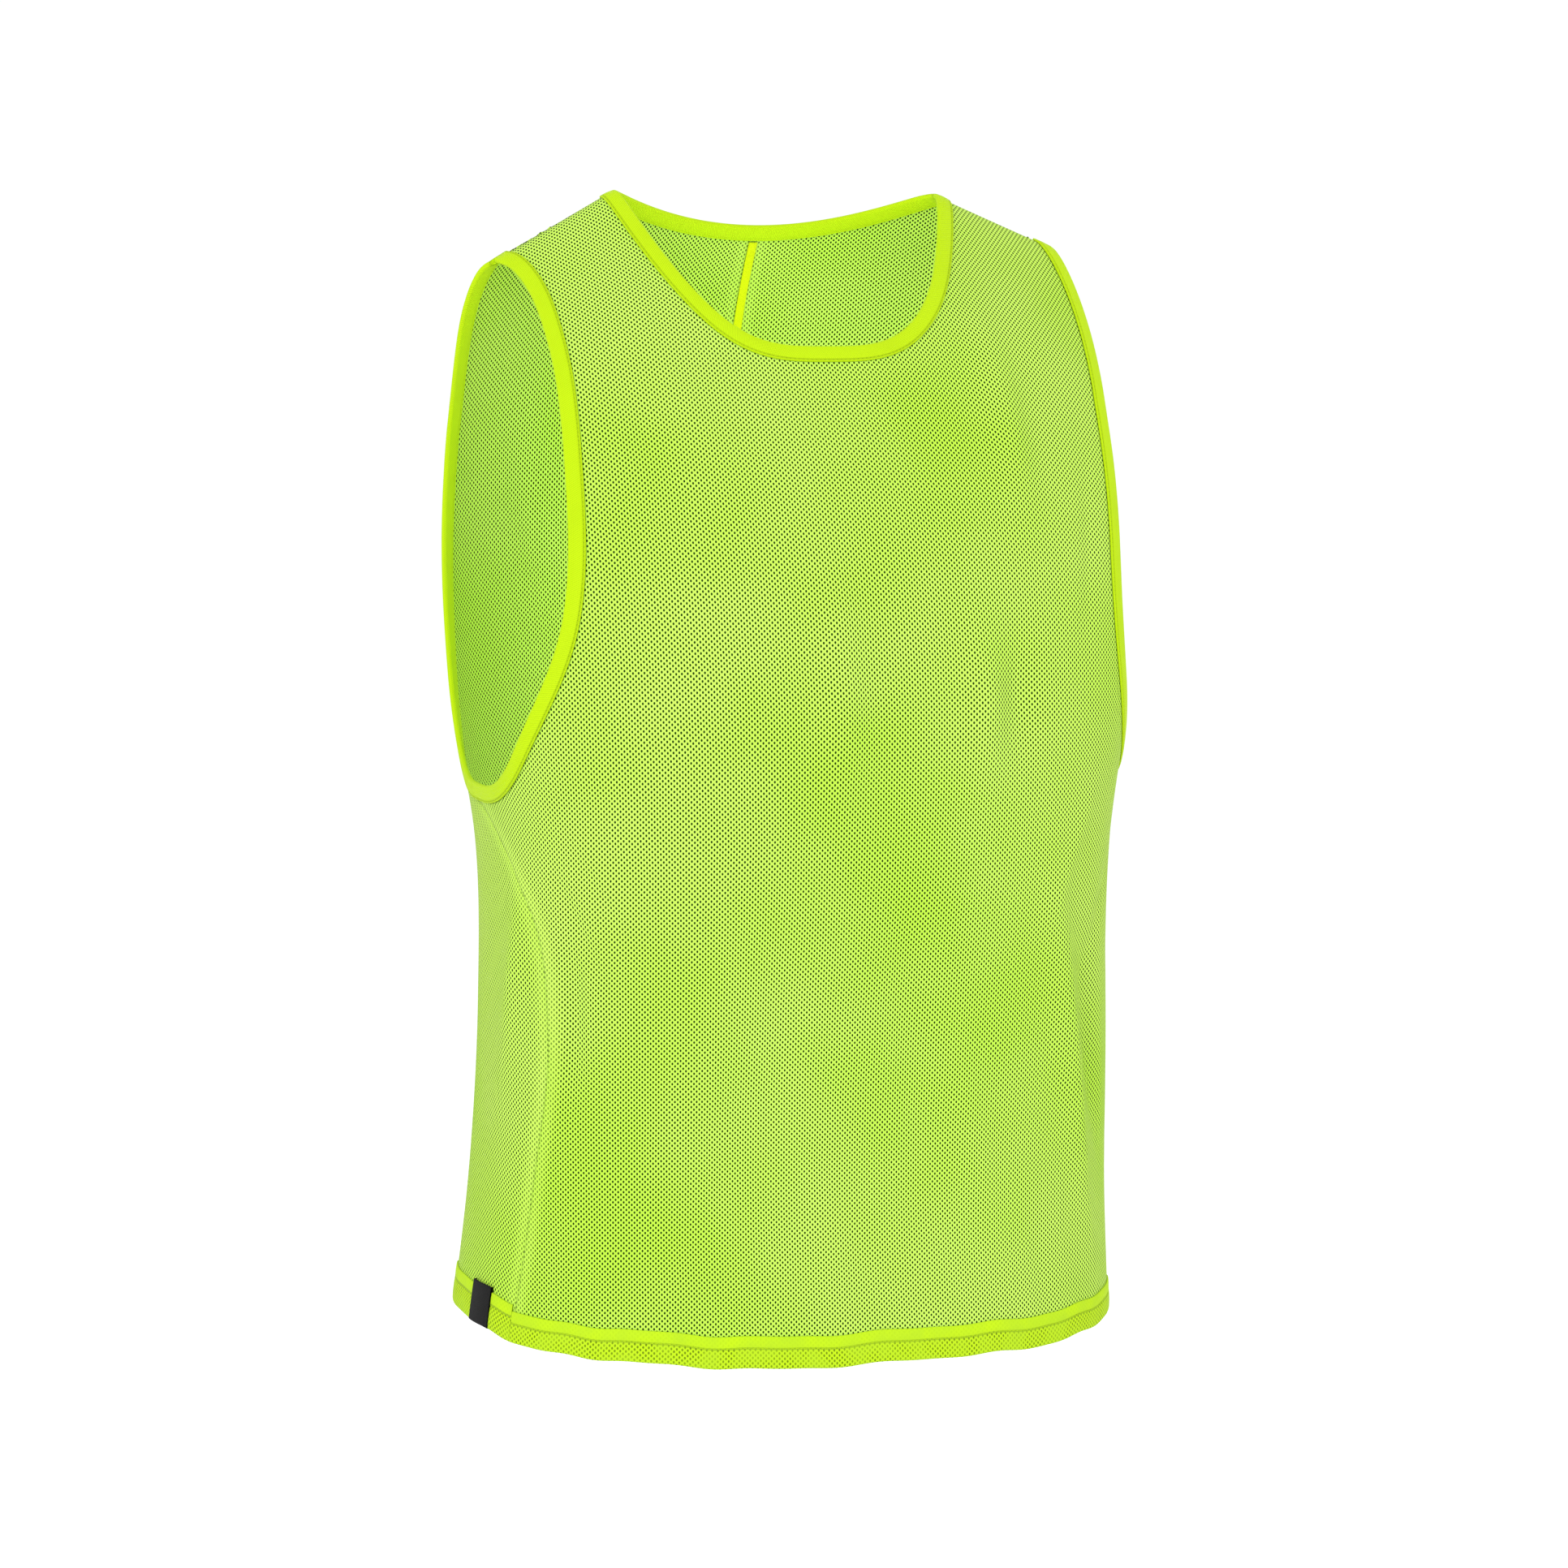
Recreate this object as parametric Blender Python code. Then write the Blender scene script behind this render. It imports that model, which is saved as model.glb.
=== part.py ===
"""Training bib: a sleeveless mesh top, hollow and open as it is when worn.

The origin is midway between the two neck points, at the top of the shoulders.
The wearer faces -Y, the wearer's right is -X and +Z is up. All sizes are in metres.

One function gives the outer face of the cloth at any turn around the body and any
height. Every panel is a grid on that face with a wall inside it, and every binding,
hem, tape and label is made from the panels' own points, moved out.
"""
import math

import bpy
import numpy as np
from mathutils import Vector

# Sizes of the worn cloth, to the line where each binding ends on its panel
BODY_LENGTH = 0.696
HEM_SIDE_RISE = 0.006
HEM_TILT = 0.008
UNDERARM_HEIGHT = -0.362
NECK_HALF_WIDTH = 0.1145
NECK_RISE = 0.026
FRONT_NECK_DROP = 0.096
BACK_NECK_DROP = 0.025
FRONT_NECK_ROUNDNESS = 3.2
BACK_NECK_ROUNDNESS = 2.0
SHOULDER_TIP = 0.173
RIGHT_SHOULDER_SLOPE = 0.57
LEFT_SHOULDER_SLOPE = 0.40
FRONT_ROUND_OVER = 0.088
BACK_ROUND_OVER = 0.113
BACK_SQUARENESS_LIMIT = 2.4

# Walls, bindings and gaps
MESH_WALL = 0.0012
BINDING_WALL = 0.0010
BINDING_WIDTH = 0.0090
FRONT_HEM_DEPTH = 0.018
BACK_HEM_DEPTH = 0.022
TAPE_WIDTH = 0.0056
TAPE_WALL = 0.0010
LABEL_WALL = 0.0010
LABEL_HEIGHT = 0.0235
SEAM_GAP = 0.0003
BINDING_GAP = 0.0005
TAPE_END_GAP = 0.0010

# Where the label sits: which stretch of the back hem from the right seam, and shares of it
LABEL_STRETCH = 2
LABEL_START = 0.03
LABEL_END = 0.73

# Grid
LOWER_ROWS = 12
UPPER_ROWS = 20
NECK_COLUMNS = 16
FRONT_SIDE_COLUMNS = 8
BACK_SIDE_COLUMNS = 9

# Level sections of the worn cloth, from the neck points to the hem
SECTION_COLUMNS = ("height", "half_width", "side_y", "front_y", "back_y", "squareness")
SECTIONS = (
    (0.000, 0.209, 0.003, -0.036, 0.042, 1.80),
    (-0.090, 0.223, -0.013, -0.091, 0.075, 2.15),
    (-0.190, 0.226, -0.023, -0.138, 0.094, 2.60),
    (-0.290, 0.215, -0.028, -0.161, 0.097, 2.90),
    (-0.390, 0.198, -0.035, -0.164, 0.089, 3.10),
    (-0.490, 0.1975, -0.039, -0.157, 0.079, 3.10),
    (-0.600, 0.203, -0.035, -0.156, 0.075, 2.90),
    (-0.700, 0.2115, -0.022, -0.168, 0.080, 2.70),
)

# Lines where the armhole bindings end, as turns in degrees from each panel's centre line
ARMHOLE_COLUMNS = ("rise", "front_right", "front_left", "back_right", "back_left")
ARMHOLES = (
    (0.0, 90.0, 90.0, 90.0, 90.0),
    (0.2, 69.3, 67.0, 73.0, 73.0),
    (0.4, 49.5, 54.0, 63.5, 63.0),
    (0.6, 44.2, 54.0, 58.0, 58.0),
    (0.8, 46.0, 57.0, 58.5, 58.5),
)

# Side seams, as turns in degrees from centre front
SEAM_COLUMNS = ("height", "right", "left")
SEAMS = (
    (-0.362, 90.0, 90.0),
    (-0.430, 72.0, 88.0),
    (-0.500, 66.5, 86.0),
    (-0.590, 68.0, 86.0),
    (-0.700, 71.0, 88.0),
)

# Large folds, ridges with a positive depth and troughs with a negative one
FOLD_COLUMNS = ("top_turn", "top_height", "low_turn", "low_height", "half_width", "depth")
FOLDS = (
    (-4.0, -0.185, -3.0, -0.385, 0.012, 0.0046),
    (29.0, -0.040, 30.0, -0.215, 0.015, 0.0050),
    (20.0, -0.225, 23.0, -0.370, 0.012, 0.0045),
    (28.0, -0.235, 30.0, -0.350, 0.013, -0.0050),
    (38.0, -0.350, 58.0, -0.690, 0.014, 0.0066),
    (50.0, -0.400, 68.0, -0.640, 0.016, -0.0058),
    (-62.0, -0.400, -58.0, -0.560, 0.013, -0.0048),
    (-76.0, -0.370, -84.0, -0.560, 0.015, 0.0040),
    (166.0, -0.050, 160.0, -0.300, 0.018, 0.0035),
    (-170.0, -0.045, -166.0, -0.240, 0.016, -0.0030),
    (-152.0, -0.250, -142.0, -0.560, 0.020, 0.0050),
    (148.0, -0.330, 132.0, -0.660, 0.020, 0.0050),
    (174.0, -0.420, 170.0, -0.660, 0.018, -0.0035),
    (-118.0, -0.360, -126.0, -0.620, 0.017, -0.0040),
)

# Colours and finish
MESH_GREEN = (0.42, 0.86, 0.05, 1.0)
BINDING_LIME = (0.58, 0.92, 0.0, 1.0)
TAPE_YELLOW = (0.75, 0.90, 0.0, 1.0)
LABEL_BLACK = (0.012, 0.012, 0.012, 1.0)
CLOTH_ROUGHNESS = 0.75
LABEL_ROUGHNESS = 0.6

# Steps of the searches and slopes
STEP = 0.0005
TURN_STEP = 0.25
RIDGE_LIMIT = 1e-7
WALK_ROUNDS = 5
HEIGHT_ROUNDS = 12
SHARP_ANGLE = 40.0


def column(names, rows, name):
    """One named column of a table."""
    place = names.index(name)
    return np.array([row[place] for row in rows])


def smooth(knots, values, at):
    """Smooth curve through the values, held flat past its ends."""
    if knots[0] > knots[-1]:
        knots = knots[::-1]
        values = values[::-1]
    at = min(max(at, knots[0]), knots[-1])
    slopes = np.gradient(values, knots)
    place = min(max(int(np.searchsorted(knots, at)) - 1, 0), len(knots) - 2)
    span = knots[place + 1] - knots[place]
    share = (at - knots[place]) / span
    rest = 1 - share
    start = values[place] * (1 + 2 * share) * rest**2
    end = values[place + 1] * (1 + 2 * rest) * share**2
    bend = span * share * rest * (slopes[place] * rest - slopes[place + 1] * share)
    return float(start + end + bend)


def section(name, height):
    """A size of the level section at a height."""
    heights = column(SECTION_COLUMNS, SECTIONS, "height")
    return smooth(heights, column(SECTION_COLUMNS, SECTIONS, name), height)


def ridge_height(x):
    """Height of the top of the shoulder at x, rising a little inside the neck."""
    reach = abs(x)
    if reach < NECK_HALF_WIDTH:
        return NECK_RISE * (1 - (reach / NECK_HALF_WIDTH) ** 2)
    slope = RIGHT_SHOULDER_SLOPE if x < 0 else LEFT_SHOULDER_SLOPE
    return -slope * (reach - NECK_HALF_WIDTH)


def fold_lift(turn, height):
    """How far the folds lift the cloth off its plain section."""
    lift = 0.0
    for row in FOLDS:
        fold = dict(zip(FOLD_COLUMNS, row))
        along = (fold["top_height"] - height) / (fold["top_height"] - fold["low_height"])
        if 0 < along < 1:
            centre = fold["top_turn"] + (fold["low_turn"] - fold["top_turn"]) * along
            away = math.radians((turn - centre + 180) % 360 - 180) * section("half_width", height)
            across = math.exp(-((away / fold["half_width"]) ** 2))
            lift += fold["depth"] * across * math.sin(math.pi * along) ** 2
    return lift


def cloth_x(turn, height):
    """Sideways place of the cloth before its folds."""
    return section("half_width", height) * math.sin(math.radians(turn))


def cloth_point(turn, height):
    """Outer face of the cloth. Turn is in degrees from centre front, positive to the left."""
    sine = math.sin(math.radians(turn))
    cosine = math.cos(math.radians(turn))
    front = abs(turn) <= 90
    square = section("squareness", height)
    if not front:
        square = min(square, BACK_SQUARENESS_LIMIT)
    bulge = (1 - abs(sine) ** square) ** (1 / square)
    x = cloth_x(turn, height)
    side_y = section("side_y", height)
    end_y = section("front_y" if front else "back_y", height)
    drop = max(ridge_height(x) - height, 0.0)
    reach = FRONT_ROUND_OVER if front else BACK_ROUND_OVER
    round_over = math.sqrt(1 - (1 - min(drop / reach, 1)) ** 2)
    y = (side_y + (end_y - side_y) * bulge) * round_over
    lift = fold_lift(turn, height)
    gap = math.copysign(SEAM_GAP / 2 * (1 - round_over), -1 if front else 1)
    return Vector((x + lift * sine, y - lift * cosine + gap, height))


def point_below_ridge(turn, root):
    """Cloth point whose drop below the shoulder ridge is root squared, and its height."""
    height = -(root**2)
    for _ in range(HEIGHT_ROUNDS):
        height = ridge_height(cloth_x(turn, height)) - root**2
    return cloth_point(turn, height), height


def cloth_normal(turn, height):
    """Direction out of the cloth."""
    x = cloth_x(turn, height)
    drop = ridge_height(x) - height
    if drop < RIDGE_LIMIT:
        slope = (ridge_height(x + STEP) - ridge_height(x - STEP)) / (2 * STEP)
        return Vector((-slope, 0, 1)).normalized()
    root = math.sqrt(drop)
    step = min(STEP, root / 2)
    across = point_below_ridge(turn + TURN_STEP, root)[0] - point_below_ridge(turn - TURN_STEP, root)[0]
    down = point_below_ridge(turn, root + step)[0] - point_below_ridge(turn, root - step)[0]
    return down.cross(across).normalized()


def nearest_on_cloth(target, turn, height):
    """Turn and height of the cloth point nearest to a target, searched from a start."""
    drop = ridge_height(cloth_x(turn, height)) - height
    on_ridge = drop < RIDGE_LIMIT
    root = 0.0 if on_ridge else math.sqrt(drop)
    for _ in range(WALK_ROUNDS):
        point = point_below_ridge(turn, root)[0]
        across = (point_below_ridge(turn + TURN_STEP, root)[0] - point) / TURN_STEP
        down = (point_below_ridge(turn, root + STEP)[0] - point) / STEP
        miss = target - point
        aa = across.dot(across)
        ad = across.dot(down)
        dd = down.dot(down)
        size = aa * dd - ad * ad
        am = across.dot(miss)
        dm = down.dot(miss)
        if on_ridge:
            turn += am / aa
            continue
        turn += (am * dd - dm * ad) / size
        root = max(root + (dm * aa - am * ad) / size, 0.0)
    return turn, point_below_ridge(turn, root)[1]


def hem_height(turn):
    """Height of the bottom edge, a little higher at the sides and to the right."""
    sine = math.sin(math.radians(turn))
    return -BODY_LENGTH + HEM_SIDE_RISE * sine**2 - HEM_TILT * sine


def edge_line(x, front):
    """Height of a panel's top edge at x: its neckline, then its shoulder."""
    if abs(x) >= NECK_HALF_WIDTH:
        return ridge_height(x)
    drop = FRONT_NECK_DROP if front else BACK_NECK_DROP
    roundness = FRONT_NECK_ROUNDNESS if front else BACK_NECK_ROUNDNESS
    return -drop * (1 - (abs(x) / NECK_HALF_WIDTH) ** roundness)


def top_height(turn, front):
    """Height of a panel's top edge along one of its grid lines."""
    height = 0.0
    for _ in range(HEIGHT_ROUNDS):
        height = edge_line(cloth_x(turn, height), front)
    return height


def turn_for_x(x, height):
    """Turn from the centre line whose cloth lies at x."""
    return math.degrees(math.asin(x / section("half_width", height)))


NECK_TURN = turn_for_x(NECK_HALF_WIDTH, 0.0)


def armhole_turn(rise, side, front):
    """Turn of an armhole edge from its panel's centre line. Rise runs from underarm to shoulder."""
    tip_height = ridge_height(side * SHOULDER_TIP)
    name = ("front_" if front else "back_") + ("right" if side < 0 else "left")
    rises = np.append(column(ARMHOLE_COLUMNS, ARMHOLES, "rise"), 1.0)
    turns = np.append(column(ARMHOLE_COLUMNS, ARMHOLES, name), turn_for_x(SHOULDER_TIP, tip_height))
    return smooth(rises, turns, rise)


def seam_turn(height, side):
    """Turn of a side seam from centre front."""
    name = "right" if side < 0 else "left"
    return smooth(column(SEAM_COLUMNS, SEAMS, "height"), column(SEAM_COLUMNS, SEAMS, name), height)


def panel_rows(hem_depth):
    """Rows of a panel's grid: below the underarm as a share, above it as a rise."""
    side_length = BODY_LENGTH + UNDERARM_HEIGHT
    first = hem_depth / side_length
    rows = [("lower", 0.0)]
    for place in range(LOWER_ROWS):
        rows.append(("lower", first + (1 - first) * place / (LOWER_ROWS - 1)))
    for place in range(UPPER_ROWS):
        rows.append(("upper", (place + 1) / UPPER_ROWS))
    return rows


def edge_turn(row, side, front):
    """Turn of the panel's side edge on one row, from the panel's own centre line."""
    kind, share = row
    if kind == "upper":
        return armhole_turn(share, side, front)
    height = -BODY_LENGTH + share * (BODY_LENGTH + UNDERARM_HEIGHT)
    turn = seam_turn(height, side)
    return turn if front else 180 - turn


def row_height(row, turn, top_turn, front):
    """Height of a row on the grid line that meets the top edge at top_turn."""
    kind, share = row
    if kind == "lower":
        return hem_height(turn) + share * (UNDERARM_HEIGHT - hem_height(turn))
    climb = math.sin(math.pi * share / 2) ** 2
    return UNDERARM_HEIGHT + climb * (top_height(top_turn, front) - UNDERARM_HEIGHT)


def spread(start, end, count):
    """Evenly spread values from start to end."""
    return [start + (end - start) * place / count for place in range(count + 1)]


def turn_of(length, turn, height):
    """Turn that spans a length along the level section."""
    step = cloth_point(turn + TURN_STEP, height) - cloth_point(turn - TURN_STEP, height)
    return length * 2 * TURN_STEP / step.length


def neck_spread(end):
    """Turns across half the neck, from the centre to an end, closer near the neck point."""
    half = NECK_COLUMNS // 2
    return [end * math.sin(math.pi / 2 * place / half) for place in range(half + 1)]


def seam_pull(row, turn):
    """Turn by which a side edge stands back from its seam."""
    kind, share = row
    if kind == "upper":
        return 0.0
    height = -BODY_LENGTH + share * (BODY_LENGTH + UNDERARM_HEIGHT)
    return turn_of(SEAM_GAP / 2, turn, height)


def front_turns(row):
    """Turns of the front panel's columns on one row, right side seam to left."""
    right = edge_turn(row, -1, True)
    left = edge_turn(row, 1, True)
    right -= seam_pull(row, right)
    left -= seam_pull(row, left)
    outer = spread(-right, -NECK_TURN, FRONT_SIDE_COLUMNS)[:-1]
    half = neck_spread(NECK_TURN)
    middle = [-turn for turn in reversed(half)] + half[1:-1]
    return outer + middle + spread(NECK_TURN, left, FRONT_SIDE_COLUMNS)


def back_turns(row, side):
    """Turns of a back half's columns on one row, side seam to centre back."""
    edge = 180 - edge_turn(row, side, False)
    edge += seam_pull(row, edge)
    centre = 180 - math.degrees(SEAM_GAP / 2 / section("half_width", 0.0))
    outer = spread(edge, 180 - NECK_TURN, BACK_SIDE_COLUMNS)[:-1]
    inner = [180 - turn for turn in reversed(neck_spread(NECK_TURN))]
    inner[-1] = centre
    return [side * turn for turn in outer + inner]


def mirrored(turn):
    """The turn behind the ridge that matches one in front of it, or the other way round."""
    return math.copysign(180 - abs(turn), turn)


class Station:
    """A point of the cloth with its turn, height and outward direction."""

    def __init__(self, turn, height):
        self.turn = turn
        self.height = height
        self.point = cloth_point(turn, height)
        self.normal = cloth_normal(turn, height)

    def out(self, distance):
        """The point moved out of the cloth."""
        return self.point + self.normal * distance

    def walked(self, direction, distance):
        """The station reached by walking over the cloth in a direction."""
        turn, height = nearest_on_cloth(self.point + direction * distance, self.turn, self.height)
        return Station(turn, height)


def panel_grid(rows, turns_of, front):
    """Stations of a panel, one list for each row."""
    top_turns = turns_of(rows[-1])
    grid = []
    for row in rows:
        line = []
        for turn, top_turn in zip(turns_of(row), top_turns):
            own_turn = turn if front else mirrored(turn)
            own_top = top_turn if front else mirrored(top_turn)
            line.append(Station(turn, row_height(row, own_turn, own_top, front)))
        grid.append(line)
    return grid


def mesh_object(name, vertices, faces, material):
    """A named object of one closed body."""
    mesh = bpy.data.meshes.new(name)
    mesh.from_pydata([tuple(vertex) for vertex in vertices], [], faces)
    mesh.materials.append(material)
    mesh.shade_smooth()
    mesh.set_sharp_from_angle(angle=math.radians(SHARP_ANGLE))
    thing = bpy.data.objects.new(name, mesh)
    bpy.context.scene.collection.objects.link(thing)
    return thing


def split(face, places):
    """Two triangles of a four-sided face, cut where its places are nearer each other."""
    a, b, c, d = face
    if (places[a] - places[c]).length <= (places[b] - places[d]).length:
        return [(a, b, c), (a, c, d)]
    return [(a, b, d), (b, c, d)]


def wall_faces(faces, count):
    """Faces of a closed wall: the outer ones, the same reversed inside, and a rim round the edge."""
    edges = set()
    for face in faces:
        for place, start in enumerate(face):
            edges.add((start, face[(place + 1) % len(face)]))
    walls = list(faces)
    walls.extend(tuple(index + count for index in reversed(face)) for face in faces)
    for start, end in sorted(edges):
        if (end, start) not in edges:
            walls.append((end, start, start + count, end + count))
    return walls


def add_panel(name, grid, neck_places, neck_edge, arm_edges, material):
    """A wall of the grid and its border strips.

    neck_edge holds the cut edge above the columns in neck_places, and arm_edges the cut
    edge beside the first column, the last column or both, from the underarm row up.
    """
    row_count = len(grid)
    column_count = len(grid[0])
    stations = [station for line in grid for station in line]
    faces = []
    strips = []
    for row in range(row_count - 1):
        for place in range(column_count - 1):
            here = row * column_count + place
            there = here + column_count
            faces.append((here, here + 1, there + 1, there))
    start = len(stations)
    stations.extend(neck_edge)
    top = (row_count - 1) * column_count
    for step, place in enumerate(neck_places[:-1]):
        strips.append((top + place, top + place + 1, start + step + 1, start + step))
    for place, edge in arm_edges.items():
        start = len(stations)
        stations.extend(edge)
        first = row_count - len(edge)
        for step in range(len(edge) - 1):
            here = (first + step) * column_count + place
            face = (start + step, here, here + column_count, start + step + 1)
            strips.append(face if place == 0 else face[::-1])
    places = [station.point for station in stations]
    for strip in strips:
        faces.extend(split(strip, places))
    vertices = [station.out(0.0) for station in stations]
    vertices.extend(station.out(-MESH_WALL) for station in stations)
    return mesh_object(name, vertices, wall_faces(faces, len(stations)), material)


class Frame:
    """One station of a folded band: the cut edge that it wraps and the line where it ends."""

    def __init__(self, edge, end):
        self.edge = edge.point
        self.edge_normal = edge.normal
        self.end = end.point
        self.end_normal = end.normal
        reach = edge.point - end.point
        self.away = (reach - edge.normal * reach.dot(edge.normal)).normalized()

    def between(self, other, share, height_share):
        """A frame on the straight stretch to another, with its end moved along the band."""
        frame = object.__new__(Frame)
        frame.edge = self.edge.lerp(other.edge, share)
        frame.edge_normal = self.edge_normal.lerp(other.edge_normal, share)
        frame.end = frame.edge.lerp(self.end.lerp(other.end, share), height_share)
        frame.end_normal = self.end_normal.lerp(other.end_normal, share)
        frame.away = self.away.lerp(other.away, share)
        return frame


def cut_edge(stations, side):
    """Cut edge round a closed opening. Side is +1 where the opening lies right of the path."""
    cut = []
    for place, station in enumerate(stations):
        path = stations[(place + 1) % len(stations)].point - stations[place - 1].point
        away = path.cross(station.normal).normalized() * side
        cut.append(station.walked(away, BINDING_WIDTH))
    return cut


def channel_profile(frame, gap, wall):
    """Eight corners of a band folded over an edge, outer end first."""
    inner = -MESH_WALL - gap
    edge = frame.edge
    normal = frame.edge_normal
    return [
        frame.end + frame.end_normal * (gap + wall),
        frame.end + frame.end_normal * gap,
        edge + normal * gap + frame.away * gap,
        edge + normal * inner + frame.away * gap,
        frame.end + frame.end_normal * inner,
        frame.end + frame.end_normal * (inner - wall),
        edge + normal * (inner - wall) + frame.away * (gap + wall),
        edge + normal * (gap + wall) + frame.away * (gap + wall),
    ]


def add_channel(name, frames, gap, wall, closed, side, material):
    """A band folded over an edge, as one closed body."""
    corners = 8
    vertices = []
    places = []
    for frame in frames:
        vertices.extend(channel_profile(frame, gap, wall))
        end, edge = frame.end, frame.edge
        places.extend((end, end, edge, edge, end, end, edge, edge))
    count = len(frames)
    faces = []
    for place in range(count if closed else count - 1):
        here = place * corners
        there = (place + 1) % count * corners
        for corner in range(corners):
            turned = (corner + 1) % corners
            quad = (here + corner, here + turned, there + turned, there + corner)
            faces.extend(split(quad, places))
    if not closed:
        last = (count - 1) * corners
        for cap in ((0, 1, 2, 7), (7, 2, 3, 6), (6, 3, 4, 5)):
            faces.append(tuple(reversed(cap)))
            faces.append(tuple(last + corner for corner in cap))
    if side > 0:
        faces = [tuple(reversed(face)) for face in faces]
    return mesh_object(name, vertices, faces, material)


def armhole_stations(side):
    """Stations round an armhole, from the underarm up the front and down the back."""
    rises = [place / UPPER_ROWS for place in range(UPPER_ROWS + 1)]
    halves = []
    for front in (True, False):
        top = side * armhole_turn(1.0, side, front)
        half = []
        for rise in rises:
            turn = side * armhole_turn(rise, side, front)
            height = row_height(("upper", rise), turn, top, front)
            half.append(Station(turn if front else mirrored(turn), height))
        halves.append(half)
    return halves[0] + halves[1][-2:0:-1]


def neck_stations():
    """Stations round the neck, across the front to the left and back across the back."""
    half = neck_spread(NECK_TURN)
    turns = [-turn for turn in reversed(half)] + half[1:]
    front = [Station(turn, top_height(turn, True)) for turn in turns]
    back = [Station(mirrored(turn), top_height(turn, False)) for turn in reversed(turns[1:-1])]
    return front + back


def back_version(station):
    """The same station as the back panel has it, where the two panels meet."""
    return Station(mirrored(station.turn), station.height)


def armhole_edges(cut):
    """Cut edges that the front and the back panel have beside one armhole."""
    front = list(cut[: UPPER_ROWS + 1])
    back = [back_version(cut[UPPER_ROWS])] + list(cut[UPPER_ROWS + 1 :]) + [cut[0]]
    back.reverse()
    seam = cut[0]
    pull = turn_of(SEAM_GAP / 2, seam.turn, seam.height)
    side = math.copysign(1, seam.turn)
    front[0] = Station(side * (abs(seam.turn) - pull), seam.height)
    back[0] = Station(side * (abs(seam.turn) + pull), seam.height)
    return front, back


def tape_profile(height):
    """Four corners of the tape inside the centre back, at one height."""
    half_turn = math.degrees(TAPE_WIDTH / 2 / section("half_width", height))
    right = Station(-180 + half_turn, height)
    left = Station(180 - half_turn, height)
    near = -MESH_WALL - BINDING_GAP
    far = near - TAPE_WALL
    return [right.out(near), left.out(near), left.out(far), right.out(far)]


def add_tape(name, heights, material):
    """The narrow tape that covers the centre back seam inside."""
    corners = 4
    vertices = [corner for height in heights for corner in tape_profile(height)]
    faces = [(0, 1, 2, 3)]
    for place in range(len(heights) - 1):
        here = place * corners
        there = here + corners
        for corner in range(corners):
            turned = (corner + 1) % corners
            faces.append((here + turned, here + corner, there + corner, there + turned))
    last = (len(heights) - 1) * corners
    faces.append((last + 3, last + 2, last + 1, last))
    return mesh_object(name, vertices, faces, material)


def cloth_material(name, colour, roughness):
    """A plain Principled material."""
    material = bpy.data.materials.new(name)
    material.use_nodes = True
    shader = material.node_tree.nodes["Principled BSDF"]
    shader.inputs["Base Color"].default_value = colour
    shader.inputs["Roughness"].default_value = roughness
    shader.inputs["Metallic"].default_value = 0.0
    material.diffuse_color = colour
    return material


def add_panels(neck_cut, arm_cut, material):
    """The front panel and the two back halves. Returns their grids."""
    half = NECK_COLUMNS // 2
    front_neck = neck_cut[: NECK_COLUMNS + 1]
    back_neck = [back_version(front_neck[-1]), *neck_cut[NECK_COLUMNS + 1 :], back_version(front_neck[0])]
    fronts, backs = zip(*(armhole_edges(arm_cut[side]) for side in (-1, 1)))

    front = panel_grid(panel_rows(FRONT_HEM_DEPTH), front_turns, True)
    places = range(FRONT_SIDE_COLUMNS, FRONT_SIDE_COLUMNS + NECK_COLUMNS + 1)
    beside = {0: fronts[0], len(front[0]) - 1: fronts[1]}
    add_panel("front_panel", front, places, front_neck, beside, material)

    rows = panel_rows(BACK_HEM_DEPTH)
    left = panel_grid(rows, lambda row: back_turns(row, 1), False)
    left_neck = back_neck[:half]
    left_neck.append(Station(left[-1][-1].turn, back_neck[half].height))
    places = range(BACK_SIDE_COLUMNS, BACK_SIDE_COLUMNS + half + 1)
    add_panel("back_panel_left", left, places, left_neck, {0: backs[1]}, material)

    right = [line[::-1] for line in panel_grid(rows, lambda row: back_turns(row, -1), False)]
    right_neck = [Station(right[-1][0].turn, back_neck[half].height), *back_neck[half + 1 :]]
    beside = {len(right[0]) - 1: backs[0]}
    add_panel("back_panel_right", right, range(half + 1), right_neck, beside, material)
    return front, left, right


def add_bindings(neck_cut, neck_end, arm_cut, arm_end, material):
    """The bindings folded over the neck and the two armholes."""
    frames = [Frame(edge, end) for edge, end in zip(neck_cut, neck_end)]
    add_channel("neck_binding", frames, BINDING_GAP, BINDING_WALL, True, -1, material)
    for side, word in ((-1, "right"), (1, "left")):
        frames = [Frame(edge, end) for edge, end in zip(arm_cut[side], arm_end[side])]
        name = f"armhole_binding_{word}"
        add_channel(name, frames, BINDING_GAP, BINDING_WALL, True, side, material)


def add_hems(front, left, right, material):
    """The two hem bands. Returns the frames of the back one, from the left seam to the right."""
    frames = [Frame(edge, end) for edge, end in zip(front[0], front[1])]
    add_channel("front_hem", frames, BINDING_GAP, BINDING_WALL, False, 1, material)
    edge, end = (left[row] + right[row][1:] for row in (0, 1))
    frames = [Frame(*pair) for pair in zip(edge, end)]
    add_channel("back_hem", frames, BINDING_GAP, BINDING_WALL, False, 1, material)
    return frames


def add_label(hem_frames, material):
    """The label folded over the back hem, just behind the right side seam."""
    before = hem_frames[-1 - LABEL_STRETCH]
    after = hem_frames[-LABEL_STRETCH]
    height_share = LABEL_HEIGHT / BACK_HEM_DEPTH
    ends = [before.between(after, 1 - share, height_share) for share in (LABEL_END, LABEL_START)]
    add_channel("hem_label", ends, BINDING_GAP + BINDING_WALL + SEAM_GAP, LABEL_WALL, False, 1, material)


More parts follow.
